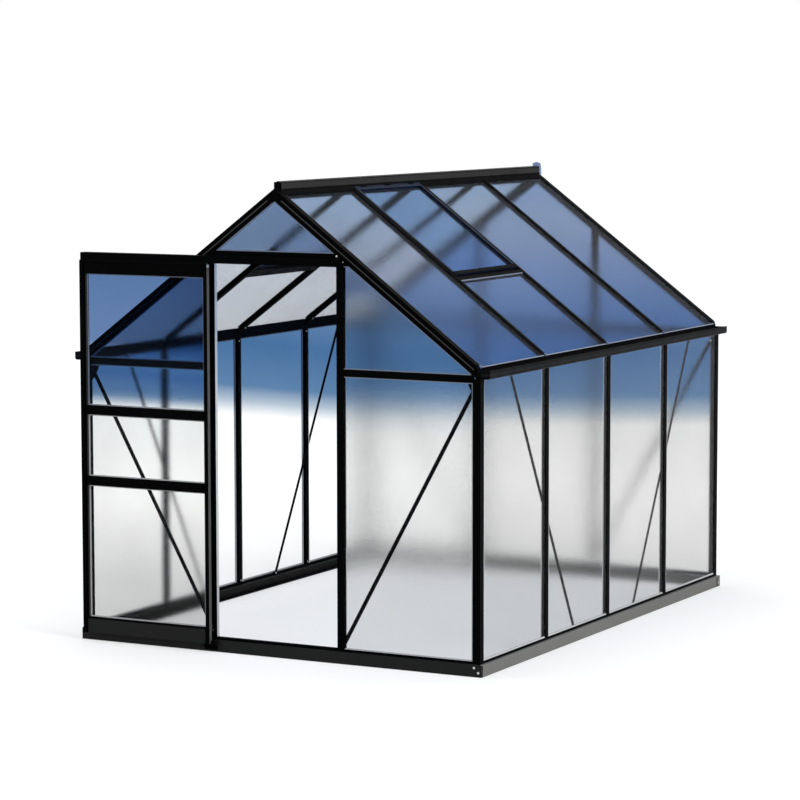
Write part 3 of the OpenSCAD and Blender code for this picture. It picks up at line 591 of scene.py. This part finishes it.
def buildGutters():
    # eave beam and rolled gutter in one length, with a soft lower edge and a rolled rim
    low = beamZ + gutter["rise"]
    outer = wallX + gutter["out"]
    sheet = gutter["sheet"]
    slotTop = beamZ + gutter["slotTop"]
    rim = low + gutter["height"]
    inner = innerX + sheet
    lipX = wallX - gutter["lip"]
    grooveX = lipX - gutter["groove"]
    section = [
        (innerX, beamZ), (grooveX, beamZ), (grooveX, slotTop), (lipX, slotTop), (lipX, beamZ),
        (wallX, beamZ), (wallX, low), (outer, low), (outer, rim), (outer - sheet, rim),
        (outer - sheet, low + sheet), (wallX + sheet, low + sheet), (wallX + sheet, slotTop + sheet),
        (inner, slotTop + sheet), (inner, underRoof(inner)), (innerX, underRoof(innerX))]
    sectionRounds = {7: gutter["round"], 10: gutter["round"] - sheet * gutter["innerRound"]}
    endX = outer - gutter["endStep"]
    endShape = [
        (innerX, slotTop), (wallX, slotTop), (wallX, low), (endX, low), (endX, rim),
        (inner, rim), (inner, underRoof(inner)), (innerX, underRoof(innerX))]
    rimAt = (outer - gutter["rimRadius"], frontY + gutter["rimShort"], rim)
    for side, sideName in sides:
        bm = extrudeSection(section, backY - frontY, sectionRounds)
        bmesh.ops.translate(bm, verts=bm.verts, vec=(0, frontY, 0))
        addRound(bm, gutter["rimRadius"], backY - frontY - 2 * gutter["rimShort"], 12,
                 facing(rimAt, along))
        for y in (frontY, backY - sheet):
            plate = extrudeSection(endShape, sheet, {3: gutter["round"]})
            bmesh.ops.translate(plate, verts=plate.verts, vec=(0, y, 0))
            pourInto(bm, plate)
        # straps that hold the rim to the beam
        for i in range(1, bayCount * 2):
            y = frontY + i * bay / 2
            addBox(bm, (inner + hair, y - strap["half"], rim - strap["faces"][0]),
                   (outer - sheet, y + strap["half"], rim - strap["faces"][1]))
        if side < 0:
            bmesh.ops.scale(bm, verts=bm.verts, vec=(-1, 1, 1))
        # its finish paints a highlight along the face and shade on the inner side
        piece = finishPiece(bm, "gutter_formed_" + sideName, "gutterPaintedLight")
        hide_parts("gutter_" + sideName)


eaveCover = {"thick": 0.0030, "short": 0.004, "gap": 0.0004}
eaveStop = {"paneTop": 0.0025, "start": 0.0003, "end": 0.0016, "low": -0.0072, "high": -0.0016,
            "sideGap": 0.0006}


def buildEaveCovers():
    # black cover along the beam, under the lower ends of the roof sheets
    low = beamZ + gutter["slotTop"] + gutter["sheet"] + eaveCover["gap"]
    start = innerX + gutter["sheet"] + hair
    end = start + eaveCover["thick"]
    for side, sideName in sides:
        bm = bmesh.new()
        xs = sorted((side * start, side * end))
        addBox(bm, (xs[0], frontY + eaveCover["short"], low),
               (xs[1], backY - eaveCover["short"], underRoof(end) - eaveCover["gap"]))
        # stops that hold the sheets' ends, between the bars
        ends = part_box("roof_panes_" + sideName)
        paneX = max(abs(ends[0].x), abs(ends[1].x))
        paneEnd = (paneX + eaveStop["paneTop"] * sin(slope)) / cos(slope)
        for i in range(bayCount):
            after = bayCount - 1 - i
            inset, rest = (count * bay + bars["roofBar"] / 2 if count else bars["rafter"]
                           for count in (i, after))
            near, far = frontY + inset + eaveStop["sideGap"], backY - rest - eaveStop["sideGap"]
            addBox(bm, (paneEnd + eaveStop["start"], near, eaveStop["low"]),
                   (paneEnd + eaveStop["end"], far, eaveStop["high"]), onSlope(side))
        finishPiece(bm, "eave_covers_" + sideName, "rubberBlack", bevel=0.0003)


buildGutters()
buildEaveCovers()
print("gutters formed")

ridge = {"half": 0.018, "height": 0.030, "fall": 0.006}
ridgeSkirt = {"height": 0.011, "sheet": 0.0012, "lift": 0.0006, "short": 0.001,
              "shoe": (0.0006, 0.0116), "shoeFaces": (0.0003, 0.0015)}
ridgeBead = {"radius": 0.0018, "inset": 0.0006, "short": 0.0005}
ridgePlate = {"thick": 0.0014, "edge": 0.001, "footLift": 0.002, "middleLift": 0.003,
              "rivetX": 0.011, "rivetLift": 0.012}


def buildRidgeTrim():
    # dark skirt along the cap's foot, a folded bead along its top edges, and a plate at its front
    capLow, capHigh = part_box("ridge_cap")
    start = ridge["half"] + hair
    foot = apexZ - ridge["half"] * tan(slope) + ridgeSkirt["lift"]
    shoe = ridge["half"] / cos(slope)
    ys = (capLow.y + ridgeSkirt["short"], capHigh.y - ridgeSkirt["short"])
    bm = bmesh.new()
    for side in (1, -1):
        xs = sorted((side * start, side * (start + ridgeSkirt["sheet"])))
        addBox(bm, (xs[0], ys[0], foot), (xs[1], ys[1], foot + ridgeSkirt["height"]))
        addBox(bm, (shoe + ridgeSkirt["shoe"][0], ys[0], ridgeSkirt["shoeFaces"][0]),
               (shoe + ridgeSkirt["shoe"][1], ys[1], ridgeSkirt["shoeFaces"][1]), onSlope(side))
    finishPiece(bm, "ridge_skirts", "rubberBlack", bevel=0.0003)

    bm = bmesh.new()
    top = apexZ + ridge["height"]
    for side in (1, -1):
        at = (side * (ridge["half"] - ridgeBead["inset"]), capLow.y + ridgeBead["short"],
              top - ridge["fall"])
        addRound(bm, ridgeBead["radius"], capHigh.y - capLow.y - 2 * ridgeBead["short"], 10,
                 facing(at, along))
    finishPiece(bm, "ridge_beads", "frameBlack")

    bm = bmesh.new()
    edge = ridge["half"] - ridgePlate["edge"]
    low, shoulder = foot + ridgePlate["footLift"], top - ridge["fall"] - ridgePlate["edge"]
    shape = [(-edge, low), (0, apexZ + ridgePlate["middleLift"]), (edge, low),
             (edge, shoulder), (0, top - ridgePlate["edge"]), (-edge, shoulder)]
    turn = Matrix.Translation((0, capLow.y - hair, 0)) @ Matrix.Rotation(radians(90), 4, "X")
    rivets = [(side * ridgePlate["rivetX"], apexZ + ridgePlate["rivetLift"]) for side in (-1, 1)]
    addPlate(bm, shape, ridgePlate["thick"], turn, 0.0, rivets)
    finishPiece(bm, "ridge_front_plate", "frameBlack", bevel=0.0003)


rafterBead = {"width": 0.0046, "mid": 0.0205, "start": 0.056, "end": 1.163, "faces": (0.0004, 0.0012)}


def buildRafterBeads():
    # fine ribs along the gable rafters, on their outer faces, grey as a painted highlight
    bm = bmesh.new()
    half = rafterBead["width"] / 2
    outer, inner = rafterBead["faces"]
    for y0, y1 in ((frontY + outer, frontY + inner), (backY - inner, backY - outer)):
        for side in (1, -1):
            addBox(bm, (rafterBead["start"], y0, -rafterBead["mid"] - half),
                   (rafterBead["end"], y1, -rafterBead["mid"] + half), onSlope(side))
    finishPiece(bm, "rafter_beads", "greyPaintedLight")


# corners and rivet: how far inwards from the plate's outer edge, and how far below the beam
eavePlate = {"thick": 0.0018, "behind": 0.0034, "inset": 0.002, "rivet": (0.018, 0.024),
             "corners": ((0, 0.014), (0.046, 0.014), (0.040, 0.036), (0, 0.100))}


def buildEavePlates():
    # small plates behind the front gable's sheets, where the braces meet the eaves
    bm = bmesh.new()
    y = frontY + wallDepth + eavePlate["behind"]
    turn = Matrix(((1, 0, 0, 0), (0, 0, 1, y), (0, 1, 0, 0), (0, 0, 0, 1)))
    edge = innerX - eavePlate["inset"]
    inward, down = eavePlate["rivet"]
    for side in (1, -1):
        corners = [(side * (edge - x), beamZ - z) for x, z in eavePlate["corners"]]
        addPlate(bm, corners[::side], eavePlate["thick"], turn,
                 rivets=((side * (edge - inward), beamZ - down),))
    finishPiece(bm, "eave_plates", "frameBlack", bevel=0.0002)


barBead = {"aside": 0.0112, "half": 0.0014, "start": 0.0365, "end": 1.142, "top": 0.0009}


def buildBarBeads():
    # screw channel along each roof bar's face, nearer its front edge
    bm = bmesh.new()
    for side in (1, -1):
        for i in range(1, bayCount):
            y = frontY + i * bay - barBead["aside"]
            addBox(bm, (barBead["start"], y - barBead["half"], hair),
                   (barBead["end"], y + barBead["half"], barBead["top"]), onSlope(side))
    finishPiece(bm, "bar_beads", "braceBlack")


buildRidgeTrim()
buildRafterBeads()
buildBarBeads()
buildEavePlates()
print("ridge and rafters dressed")

vent = {"end": 0.634, "proud": 0.003, "sideGap": 0.002}
ventHinge = {"radius": 0.0026, "places": (0.14, 0.5, 0.86), "knuckles": 5, "length": 0.0094,
             "pitch": 0.0102, "half": 0.025, "ventStart": 0.0228, "down": 0.0040, "lift": 0.0018}
ventStay = {"length": 0.22, "edges": (0.018, 0.006), "barGap": 0.0012, "thick": 0.002, "corner": 0.004,
            "pins": (-0.08, -0.04, 0.0, 0.04, 0.08), "pinLine": 0.012, "pin": (0.0030, 0.0036, 10)}
ventLip = {"edges": (0.0195, 0.0006), "short": 0.001, "faces": (hair, 0.0012)}


def buildVentFittings():
    near = frontY + bay + bars["roofBar"] / 2 + vent["sideGap"]
    far = frontY + 2 * bay - bars["roofBar"] / 2 - vent["sideGap"]
    middle = (near + far) / 2
    depth = bars["roofBarDepth"] + ventStay["barGap"]
    hinges, stays, lips = bmesh.new(), bmesh.new(), bmesh.new()
    for side in (1, -1):
        turn = onSlope(side)
        for share in ventHinge["places"]:
            y = near + share * (far - near)
            for knuckle in range(ventHinge["knuckles"]):
                start = (ventHinge["ventStart"] + ventHinge["down"],
                         y - ventHinge["half"] + knuckle * ventHinge["pitch"],
                         vent["proud"] + ventHinge["lift"])
                addRound(hinges, ventHinge["radius"], ventHinge["length"], 10,
                         turn @ Matrix.Translation(start) @ Matrix.Rotation(radians(-90), 4, "X"))
        # flat stay under the vent's lower bar, with a row of pins
        xs = [vent["end"] - inset for inset in ventStay["edges"]]
        ys = (middle - ventStay["length"] / 2, middle + ventStay["length"] / 2)
        under = turn @ Matrix.Translation((0, 0, -depth - ventStay["thick"]))
        addPlate(stays, fourCorners(xs, ys), ventStay["thick"], under, ventStay["corner"])
        radius, height, sidesRound = ventStay["pin"]
        for offset in ventStay["pins"]:
            at = (vent["end"] - ventStay["pinLine"], middle + offset, -depth - height)
            addRound(stays, radius, height, sidesRound, turn @ Matrix.Translation(at))
        # drip lip along the vent's lower edge
        addBox(lips, (vent["end"] - ventLip["edges"][0], near + ventLip["short"],
                      vent["proud"] + ventLip["faces"][0]),
               (vent["end"] - ventLip["edges"][1], far - ventLip["short"],
                vent["proud"] + ventLip["faces"][1]), turn)
    finishPiece(hinges, "vent_hinges", "frameBlack")
    finishPiece(stays, "vent_stays", "frameBlack")
    finishPiece(lips, "vent_lips", "frameBlack", bevel=0.0003)


buildVentFittings()
print("vents fitted")

doorLow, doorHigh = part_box("door_stiles")
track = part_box("door_track")
# gaps are the heights between the door's rails, each a little short
door = {"face": 0.017, "step": 0.012, "rail": 0.005, "bottomRail": 0.070,
        "gaps": ((0.1052, 0.6758), (0.7162, 0.9808), (1.0212, 1.5842))}
doorStrip = {"thick": 0.0008, "front": 0.0012, "back": 0.002, "foot": 0.001, "head": 0.0135}
headCap = {"out": 0.0016, "front": 0.0015, "back": 0.003, "low": 0.0125, "high": 0.0005,
           "plug": (0.0034, 0.0016, 12), "plugY": 0.011, "plugZ": 0.0065}
railLip = {"endGap": 0.0055, "out": 0.0012, "height": 0.0085}
# strips of painted light beside the door's left stile
doorLitEdge = {"aside": 0.005, "wide": 0.0085, "faces": (0.0004, 0.0016)}
brush = {"short": 0.001, "front": 0.0004, "holder": 0.0034, "foot": 0.0001, "shoulder": 0.0024,
         "bristles": (0.0003, 0.0029), "trackGap": 0.0004}


def buildDoorTrim():
    # grey strip on the right stile's outer side, painted light for its lit side face
    outerX = doorHigh.x + hair
    bm = bmesh.new()
    addBox(bm, (outerX, doorLow.y + doorStrip["front"], doorLow.z + doorStrip["foot"]),
           (outerX + doorStrip["thick"], doorHigh.y - doorStrip["back"], doorHigh.z - doorStrip["head"]))
    finishPiece(bm, "door_stile_lit_strips", "stripPaintedLitSide", "door", bevel=0.0002)

    # pale cap at the head of the same stile, with a round plug
    capX = doorHigh.x + headCap["out"]
    bm = bmesh.new()
    addBox(bm, (outerX, doorLow.y + headCap["front"], doorHigh.z - headCap["low"]),
           (capX, doorHigh.y - headCap["back"], doorHigh.z - headCap["high"]))
    plugAt = (capX, doorLow.y + headCap["plugY"], doorHigh.z - headCap["plugZ"])
    addRound(bm, *headCap["plug"], facing(plugAt, across))
    finishPiece(bm, "door_head_cap", "zincBolt", "door", bevel=0.0003)

    # dark lip along the bottom rail
    bm = bmesh.new()
    railY = doorLow.y + door["rail"]
    railTop = doorLow.z + door["bottomRail"]
    addBox(bm, (doorLow.x + door["face"] + railLip["endGap"], railY - railLip["out"],
                railTop - railLip["height"]),
           (doorHigh.x - door["face"] - railLip["endGap"], railY - hair, railTop))
    finishPiece(bm, "door_rail_lip", "frameBlack", "door", bevel=0.0003)

    # grey strips over the sheets' edges beside the left stile, painted light for the stile's lit inner side
    bm = bmesh.new()
    x = doorLow.x + (door["face"] + doorLitEdge["aside"]) + hair
    ys = [doorLow.y + door["step"] + face for face in doorLitEdge["faces"]]
    for z0, z1 in door["gaps"]:
        addBox(bm, (x, ys[0], z0), (x + doorLitEdge["wide"], ys[1], z1))
    finishPiece(bm, "door_lit_edge_strips", "greyPaintedLight", "door")

    # closing brush between the door's head and the track
    bm = bmesh.new()
    start, end = doorLow.x + brush["short"], doorHigh.x - brush["short"]
    front = doorLow.y + brush["front"]
    shoulder = doorHigh.z + brush["shoulder"]
    addBox(bm, (start, front, doorHigh.z + brush["foot"]), (end, front + brush["holder"], shoulder))
    addBox(bm, (start, front + brush["bristles"][0], shoulder),
           (end, front + brush["bristles"][1], track[0].z - brush["trackGap"]))
    finishPiece(bm, "door_head_brush", "rubberBlack", "door")


# the wheels run on the track's floor; hub and nut are radius, height and sides
roller = {"floor": 0.0025, "gap": 0.0003, "wheel": 0.009, "hub": (0.0048, 0.0012, 12),
          "nut": (0.0030, 0.0022, 6)}


def buildRollers():
    # hub and nut on both faces of each roller
    low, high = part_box("door_rollers")
    bm = bmesh.new()
    axleZ = track[0].z + roller["floor"] + roller["gap"] + roller["wheel"]
    for x in (low.x + roller["wheel"], high.x - roller["wheel"]):
        for direction, y in ((-along, low.y), (along, high.y)):
            addRound(bm, *roller["hub"], facing((x, y, axleZ), direction))
            addRound(bm, *roller["nut"], facing((x, y, axleZ), direction))
    finishPiece(bm, "roller_hubs", "zincBolt", "door")


trackEnd = {"front": 0.001, "back": 0.002, "edge": 0.001, "thick": 0.0012}


def buildTrackTrim():
    # plates that close the track's ends
    bm = bmesh.new()
    corners = fourCorners((track[0].y + trackEnd["front"], track[1].y - trackEnd["back"]),
                          (track[0].z + trackEnd["edge"], track[1].z - trackEnd["edge"]))
    for x, outward in ((track[0].x, -1), (track[1].x, 1)):
        addPlate(bm, corners, trackEnd["thick"], onSide(x, outward))
    finishPiece(bm, "track_end_plates", "frameBlack")


postStrip = {"postWide": 0.033, "faces": (hair, 0.0010), "front": 0.0016, "back": 0.001, "endGap": 0.0006}


def buildPostStrips():
    # pale strips on the door posts' faces that look into the doorway: painted highlights, darker low down and
    # bluish high up
    bm = bmesh.new()
    inner = doorPost.x - postStrip["postWide"]
    for side in (1, -1):
        xs = sorted(side * (inner - face) for face in postStrip["faces"])
        addBox(bm, (xs[0], frontY + postStrip["front"], sillTop + postStrip["endGap"]),
               (xs[1], frontY + wallDepth - postStrip["back"], headerLow - postStrip["endGap"]))
    finishPiece(bm, "door_post_highlights", "jambPaintedHighlight", bevel=0.0002)


# x from the post's middle line; z above the sill, but plateFoot and shoeZ above the base
footGuide = {"postMiddle": 0.0165, "plate": 0.0028, "plateX": (-0.014, 0.013), "plateTop": 0.052,
             "plateFoot": 0.0006, "shoeX": (-0.020, 0.016), "shoeOut": 0.0125, "shoeZ": (0.0004, 0.012),
             "wheelX": 0.001, "wheelZ": 0.030, "wheel": (0.0125, 0.0085, 24),
             "pinOut": 0.0113, "pin": (0.0056, 0.0012, 16), "boltX": -0.008, "boltZ": 0.047, "boltSize": 0.62}


def buildFootGuide():
    # roller on a bracket at the foot of the left door post, beside the door
    bm = bmesh.new()
    x = -doorPost.x + footGuide["postMiddle"]
    faceY = frontY - hair
    wheelX, wheelZ = x + footGuide["wheelX"], sillTop + footGuide["wheelZ"]
    plateX, shoeX, shoeZ = footGuide["plateX"], footGuide["shoeX"], footGuide["shoeZ"]
    addBox(bm, (x + plateX[0], faceY - footGuide["plate"], baseTop + footGuide["plateFoot"]),
           (x + plateX[1], faceY, sillTop + footGuide["plateTop"]))
    addBox(bm, (x + shoeX[0], faceY - footGuide["shoeOut"], baseTop + shoeZ[0]),
           (x + shoeX[1], faceY, baseTop + shoeZ[1]))
    addRound(bm, *footGuide["wheel"], facing((wheelX, faceY - footGuide["plate"], wheelZ), -along))
    finishPiece(bm, "foot_guide", "frameBlack", bevel=0.0012)
    bm = bmesh.new()
    addRound(bm, *footGuide["pin"], facing((wheelX, faceY - footGuide["pinOut"], wheelZ), -along))
    addBolt(bm, (x + footGuide["boltX"], faceY - footGuide["plate"], sillTop + footGuide["boltZ"]),
            -along, footGuide["boltSize"])
    finishPiece(bm, "foot_guide_pin", "zincBolt")


buildDoorTrim()
buildRollers()
buildTrackTrim()
buildPostStrips()
buildFootGuide()
print("door dressed")

basePlate = {"sink": 0.0014, "span": (0.0010, 0.0110), "edge": 0.002, "thick": 0.0014, "corner": 0.001}


def buildBaseTrim():
    # narrow bright plates that close the mitred corners, on the long sides: partly real plates, partly a
    # painted highlight on the corner edges
    bm = bmesh.new()
    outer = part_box("base_right")[1].x - basePlate["sink"]
    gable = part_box("base_front")[0].y
    for side in (1, -1):
        for inward in (1, -1):
            ys = sorted(inward * gable + inward * reach for reach in basePlate["span"])
            corners = fourCorners(ys, (basePlate["edge"], baseTop - basePlate["edge"]))
            addPlate(bm, corners, basePlate["thick"], onSide(side * outer, side), basePlate["corner"])
    finishPiece(bm, "base_corner_plates", "zincBolt")


boltSize = {"base": 0.85, "header": 0.72, "post": 0.62, "brace": 0.8, "bar": 0.7}
# pairs are an inset from a corner, or a place across the house, and a height
boltPlace = {"baseFront": ((0.034, baseTop - 0.012), (0.015, 0.018)), "baseSide": (0.012, 0.020),
             "header": (0.294, headerHigh - 0.010), "post": (0.322, headerHigh - 0.034),
             "belowBeam": 0.012, "aboveSill": 0.010, "downSlope": (0.062, 1.135)}
brace = {"thick": 0.003, "wide": 0.017, "wallGap": 0.0003, "top": beamZ - 0.033, "foot": sillTop + 0.008,
         "frontFoot": 0.0165, "backFoot": 0.015, "beamStep": 0.003, "beamLift": 0.002,
         "baseStep": 0.004, "baseLift": 0.010}


def buildBolts():
    outside, inside = bmesh.new(), bmesh.new()
    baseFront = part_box("base_front")
    for inset, z in boltPlace["baseFront"]:
        addBolt(outside, (baseFront[1].x - inset, baseFront[0].y, z), -along, boltSize["base"])
    inset, z = boltPlace["baseSide"]
    for side in (1, -1):
        addBolt(outside, (side * baseFront[1].x, backY - inset, z), (side, 0, 0), boltSize["base"])
    x, z = boltPlace["header"]
    addBolt(outside, (x, frontY, z), -along, boltSize["header"])
    postX, postZ = boltPlace["post"]
    addBolt(outside, (postX, frontY, postZ), -along, boltSize["post"])
    for side in (1, -1):
        addBolt(outside, (side * x, backY, z), along, boltSize["header"])
    # the braces' ends, inside the gables and the long walls
    topX = innerX - brace["wallGap"] - brace["wide"] / 2 ** 0.5
    frontFoot = doorPost.x - brace["frontFoot"]
    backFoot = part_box("back_posts")[1].x - brace["backFoot"]
    for side, sideName in sides:
        for footX, y, inward in ((frontFoot, frontY + wallDepth + brace["thick"], along),
                                 (backFoot, backY - wallDepth - brace["thick"], -along)):
            addBolt(inside, (side * topX, y, brace["top"]), inward, boltSize["brace"])
            addBolt(inside, (side * footX, y, brace["foot"]), inward, boltSize["brace"])
        for start, step in ((frontY, 1), (backY, -1)):
            x = side * (innerX - brace["thick"])
            beamY = start + step * (bay / 2 + brace["beamStep"])
            baseY = start + step * (bay * 1.5 - brace["baseStep"])
            addBolt(inside, (x, beamY, beamZ + brace["beamLift"]), (-side, 0, 0), boltSize["brace"])
            addBolt(inside, (x, baseY, baseTop + brace["baseLift"]), (-side, 0, 0), boltSize["brace"])
        for i in range(1, bayCount):
            y = frontY + i * bay
            for z in (beamZ - boltPlace["belowBeam"], sillTop + boltPlace["aboveSill"]):
                addBolt(inside, (side * innerX, y, z), (-side, 0, 0), boltSize["bar"])
            for down in boltPlace["downSlope"]:
                at = onSlope(side) @ Vector((down, y, -bars["roofBarDepth"]))
                addBolt(inside, at, -slopeUp[sideName], boltSize["bar"])
    finishPiece(outside, "bolts_outside", "zincBolt")
    finishPiece(inside, "bolts_inside", "zincBolt")


buildBaseTrim()
buildBolts()
print("bolts set")


def whiteRays(tree):
    # 1 for the rays that see the background itself
    path = addNode(tree, "LightPath")
    seen = path.outputs["Is Camera Ray"]
    for kind in ("Is Glossy Ray", "Is Transmission Ray"):
        seen = addNode(tree, "Math", {0: seen, 1: path.outputs[kind]}, operation="MAXIMUM").outputs[0]
    return seen


studio = {"worldLight": (0.52, 0.53, 0.55), "floorColour": (0.46, 0.46, 0.46), "nearGlow": 0.48,
          "farGlow": 0.785, "nearRadius": 1.6, "farRadius": 4.5, "floorRadius": 70.0, "floorDrop": 0.0005}


def buildStudio():
    world = bpy.data.worlds.new("studio")
    bpy.context.scene.world = world
    world.use_nodes = True
    tree = world.node_tree
    tree.nodes.clear()
    colour = blendColours(tree, whiteRays(tree), studio["worldLight"], (1, 1, 1))
    back = addNode(tree, "Background", {"Color": colour, "Strength": 1.0})
    addNode(tree, "OutputWorld", {"Surface": back.outputs["Background"]})

    # pale floor that fades into the white background with distance from the house
    mat, tree = newMaterial("floorPale")
    matte = addNode(tree, "BsdfDiffuse", {"Color": (*studio["floorColour"], 1)})
    radius = addNode(tree, "VectorMath", {0: placeOn(tree)}, operation="LENGTH")
    fade = spread(tree, radius.outputs["Value"], studio["nearGlow"], studio["farGlow"],
                  studio["nearRadius"], studio["farRadius"])
    level = addNode(tree, "Math", {0: fade, 1: whiteRays(tree)}, operation="MULTIPLY")
    glow = addNode(tree, "Emission", {"Color": (1, 1, 1, 1), "Strength": level.outputs[0]})
    both = addNode(tree, "AddShader", {0: matte.outputs["BSDF"], 1: glow.outputs["Emission"]})
    addNode(tree, "OutputMaterial", {"Surface": both.outputs["Shader"]})
    bm = bmesh.new()
    bmesh.ops.create_circle(bm, cap_ends=True, segments=96, radius=studio["floorRadius"])
    mesh = bpy.data.meshes.new("studio_floor")
    bm.to_mesh(mesh)
    bm.free()
    mesh.materials.append(mat)
    floor = placeNew("studio_floor", mesh)
    floor.location.z = -studio["floorDrop"]


lampTarget = Vector((0, 0, 0.9))
lamps = {
    "key": {"at": (7.5, -3.0, 4.2), "size": 4.5, "power": 520, "colour": (1.0, 0.99, 0.97)},
    "top": {"at": (-1.0, 0.5, 7.5), "size": 6.0, "power": 320, "colour": (0.97, 0.98, 1.0)},
    "left": {"at": (-6.5, -5.0, 3.5), "size": 4.0, "power": 160, "colour": (0.95, 0.97, 1.0)},
}


def buildLamps():
    for name, lamp in lamps.items():
        data = bpy.data.lights.new(name + "_lamp", "AREA")
        data.shape = "DISK"
        data.size = lamp["size"]
        data.energy = lamp["power"]
        data.color = lamp["colour"]
        light = placeNew(name + "_lamp", data)
        at = Vector(lamp["at"])
        light.location = at
        light.rotation_mode = "QUATERNION"
        light.rotation_quaternion = (lampTarget - at).to_track_quat("-Z", "Y")
        light.visible_camera = False
        light.visible_transmission = False


view = {"at": (6.390, -12.261, 2.408), "heading": 27.807, "down": 5.956, "roll": -0.084, "lens": 138.59,
        "sensor": 36.0, "clipEnd": 300.0}


def buildCamera():
    data = bpy.data.cameras.new("camera")
    data.lens = view["lens"]
    data.sensor_width = view["sensor"]
    data.clip_end = view["clipEnd"]
    camera = placeNew("camera", data)
    turn = (Matrix.Rotation(radians(view["heading"]), 4, "Z")
            @ Matrix.Rotation(radians(90 - view["down"]), 4, "X")
            @ Matrix.Rotation(radians(view["roll"]), 4, "Z"))
    camera.matrix_world = Matrix.Translation(view["at"]) @ turn
    bpy.context.scene.camera = camera


buildStudio()
buildLamps()
buildCamera()
bpy.context.scene.view_settings.view_transform = "Standard"
print("studio ready")
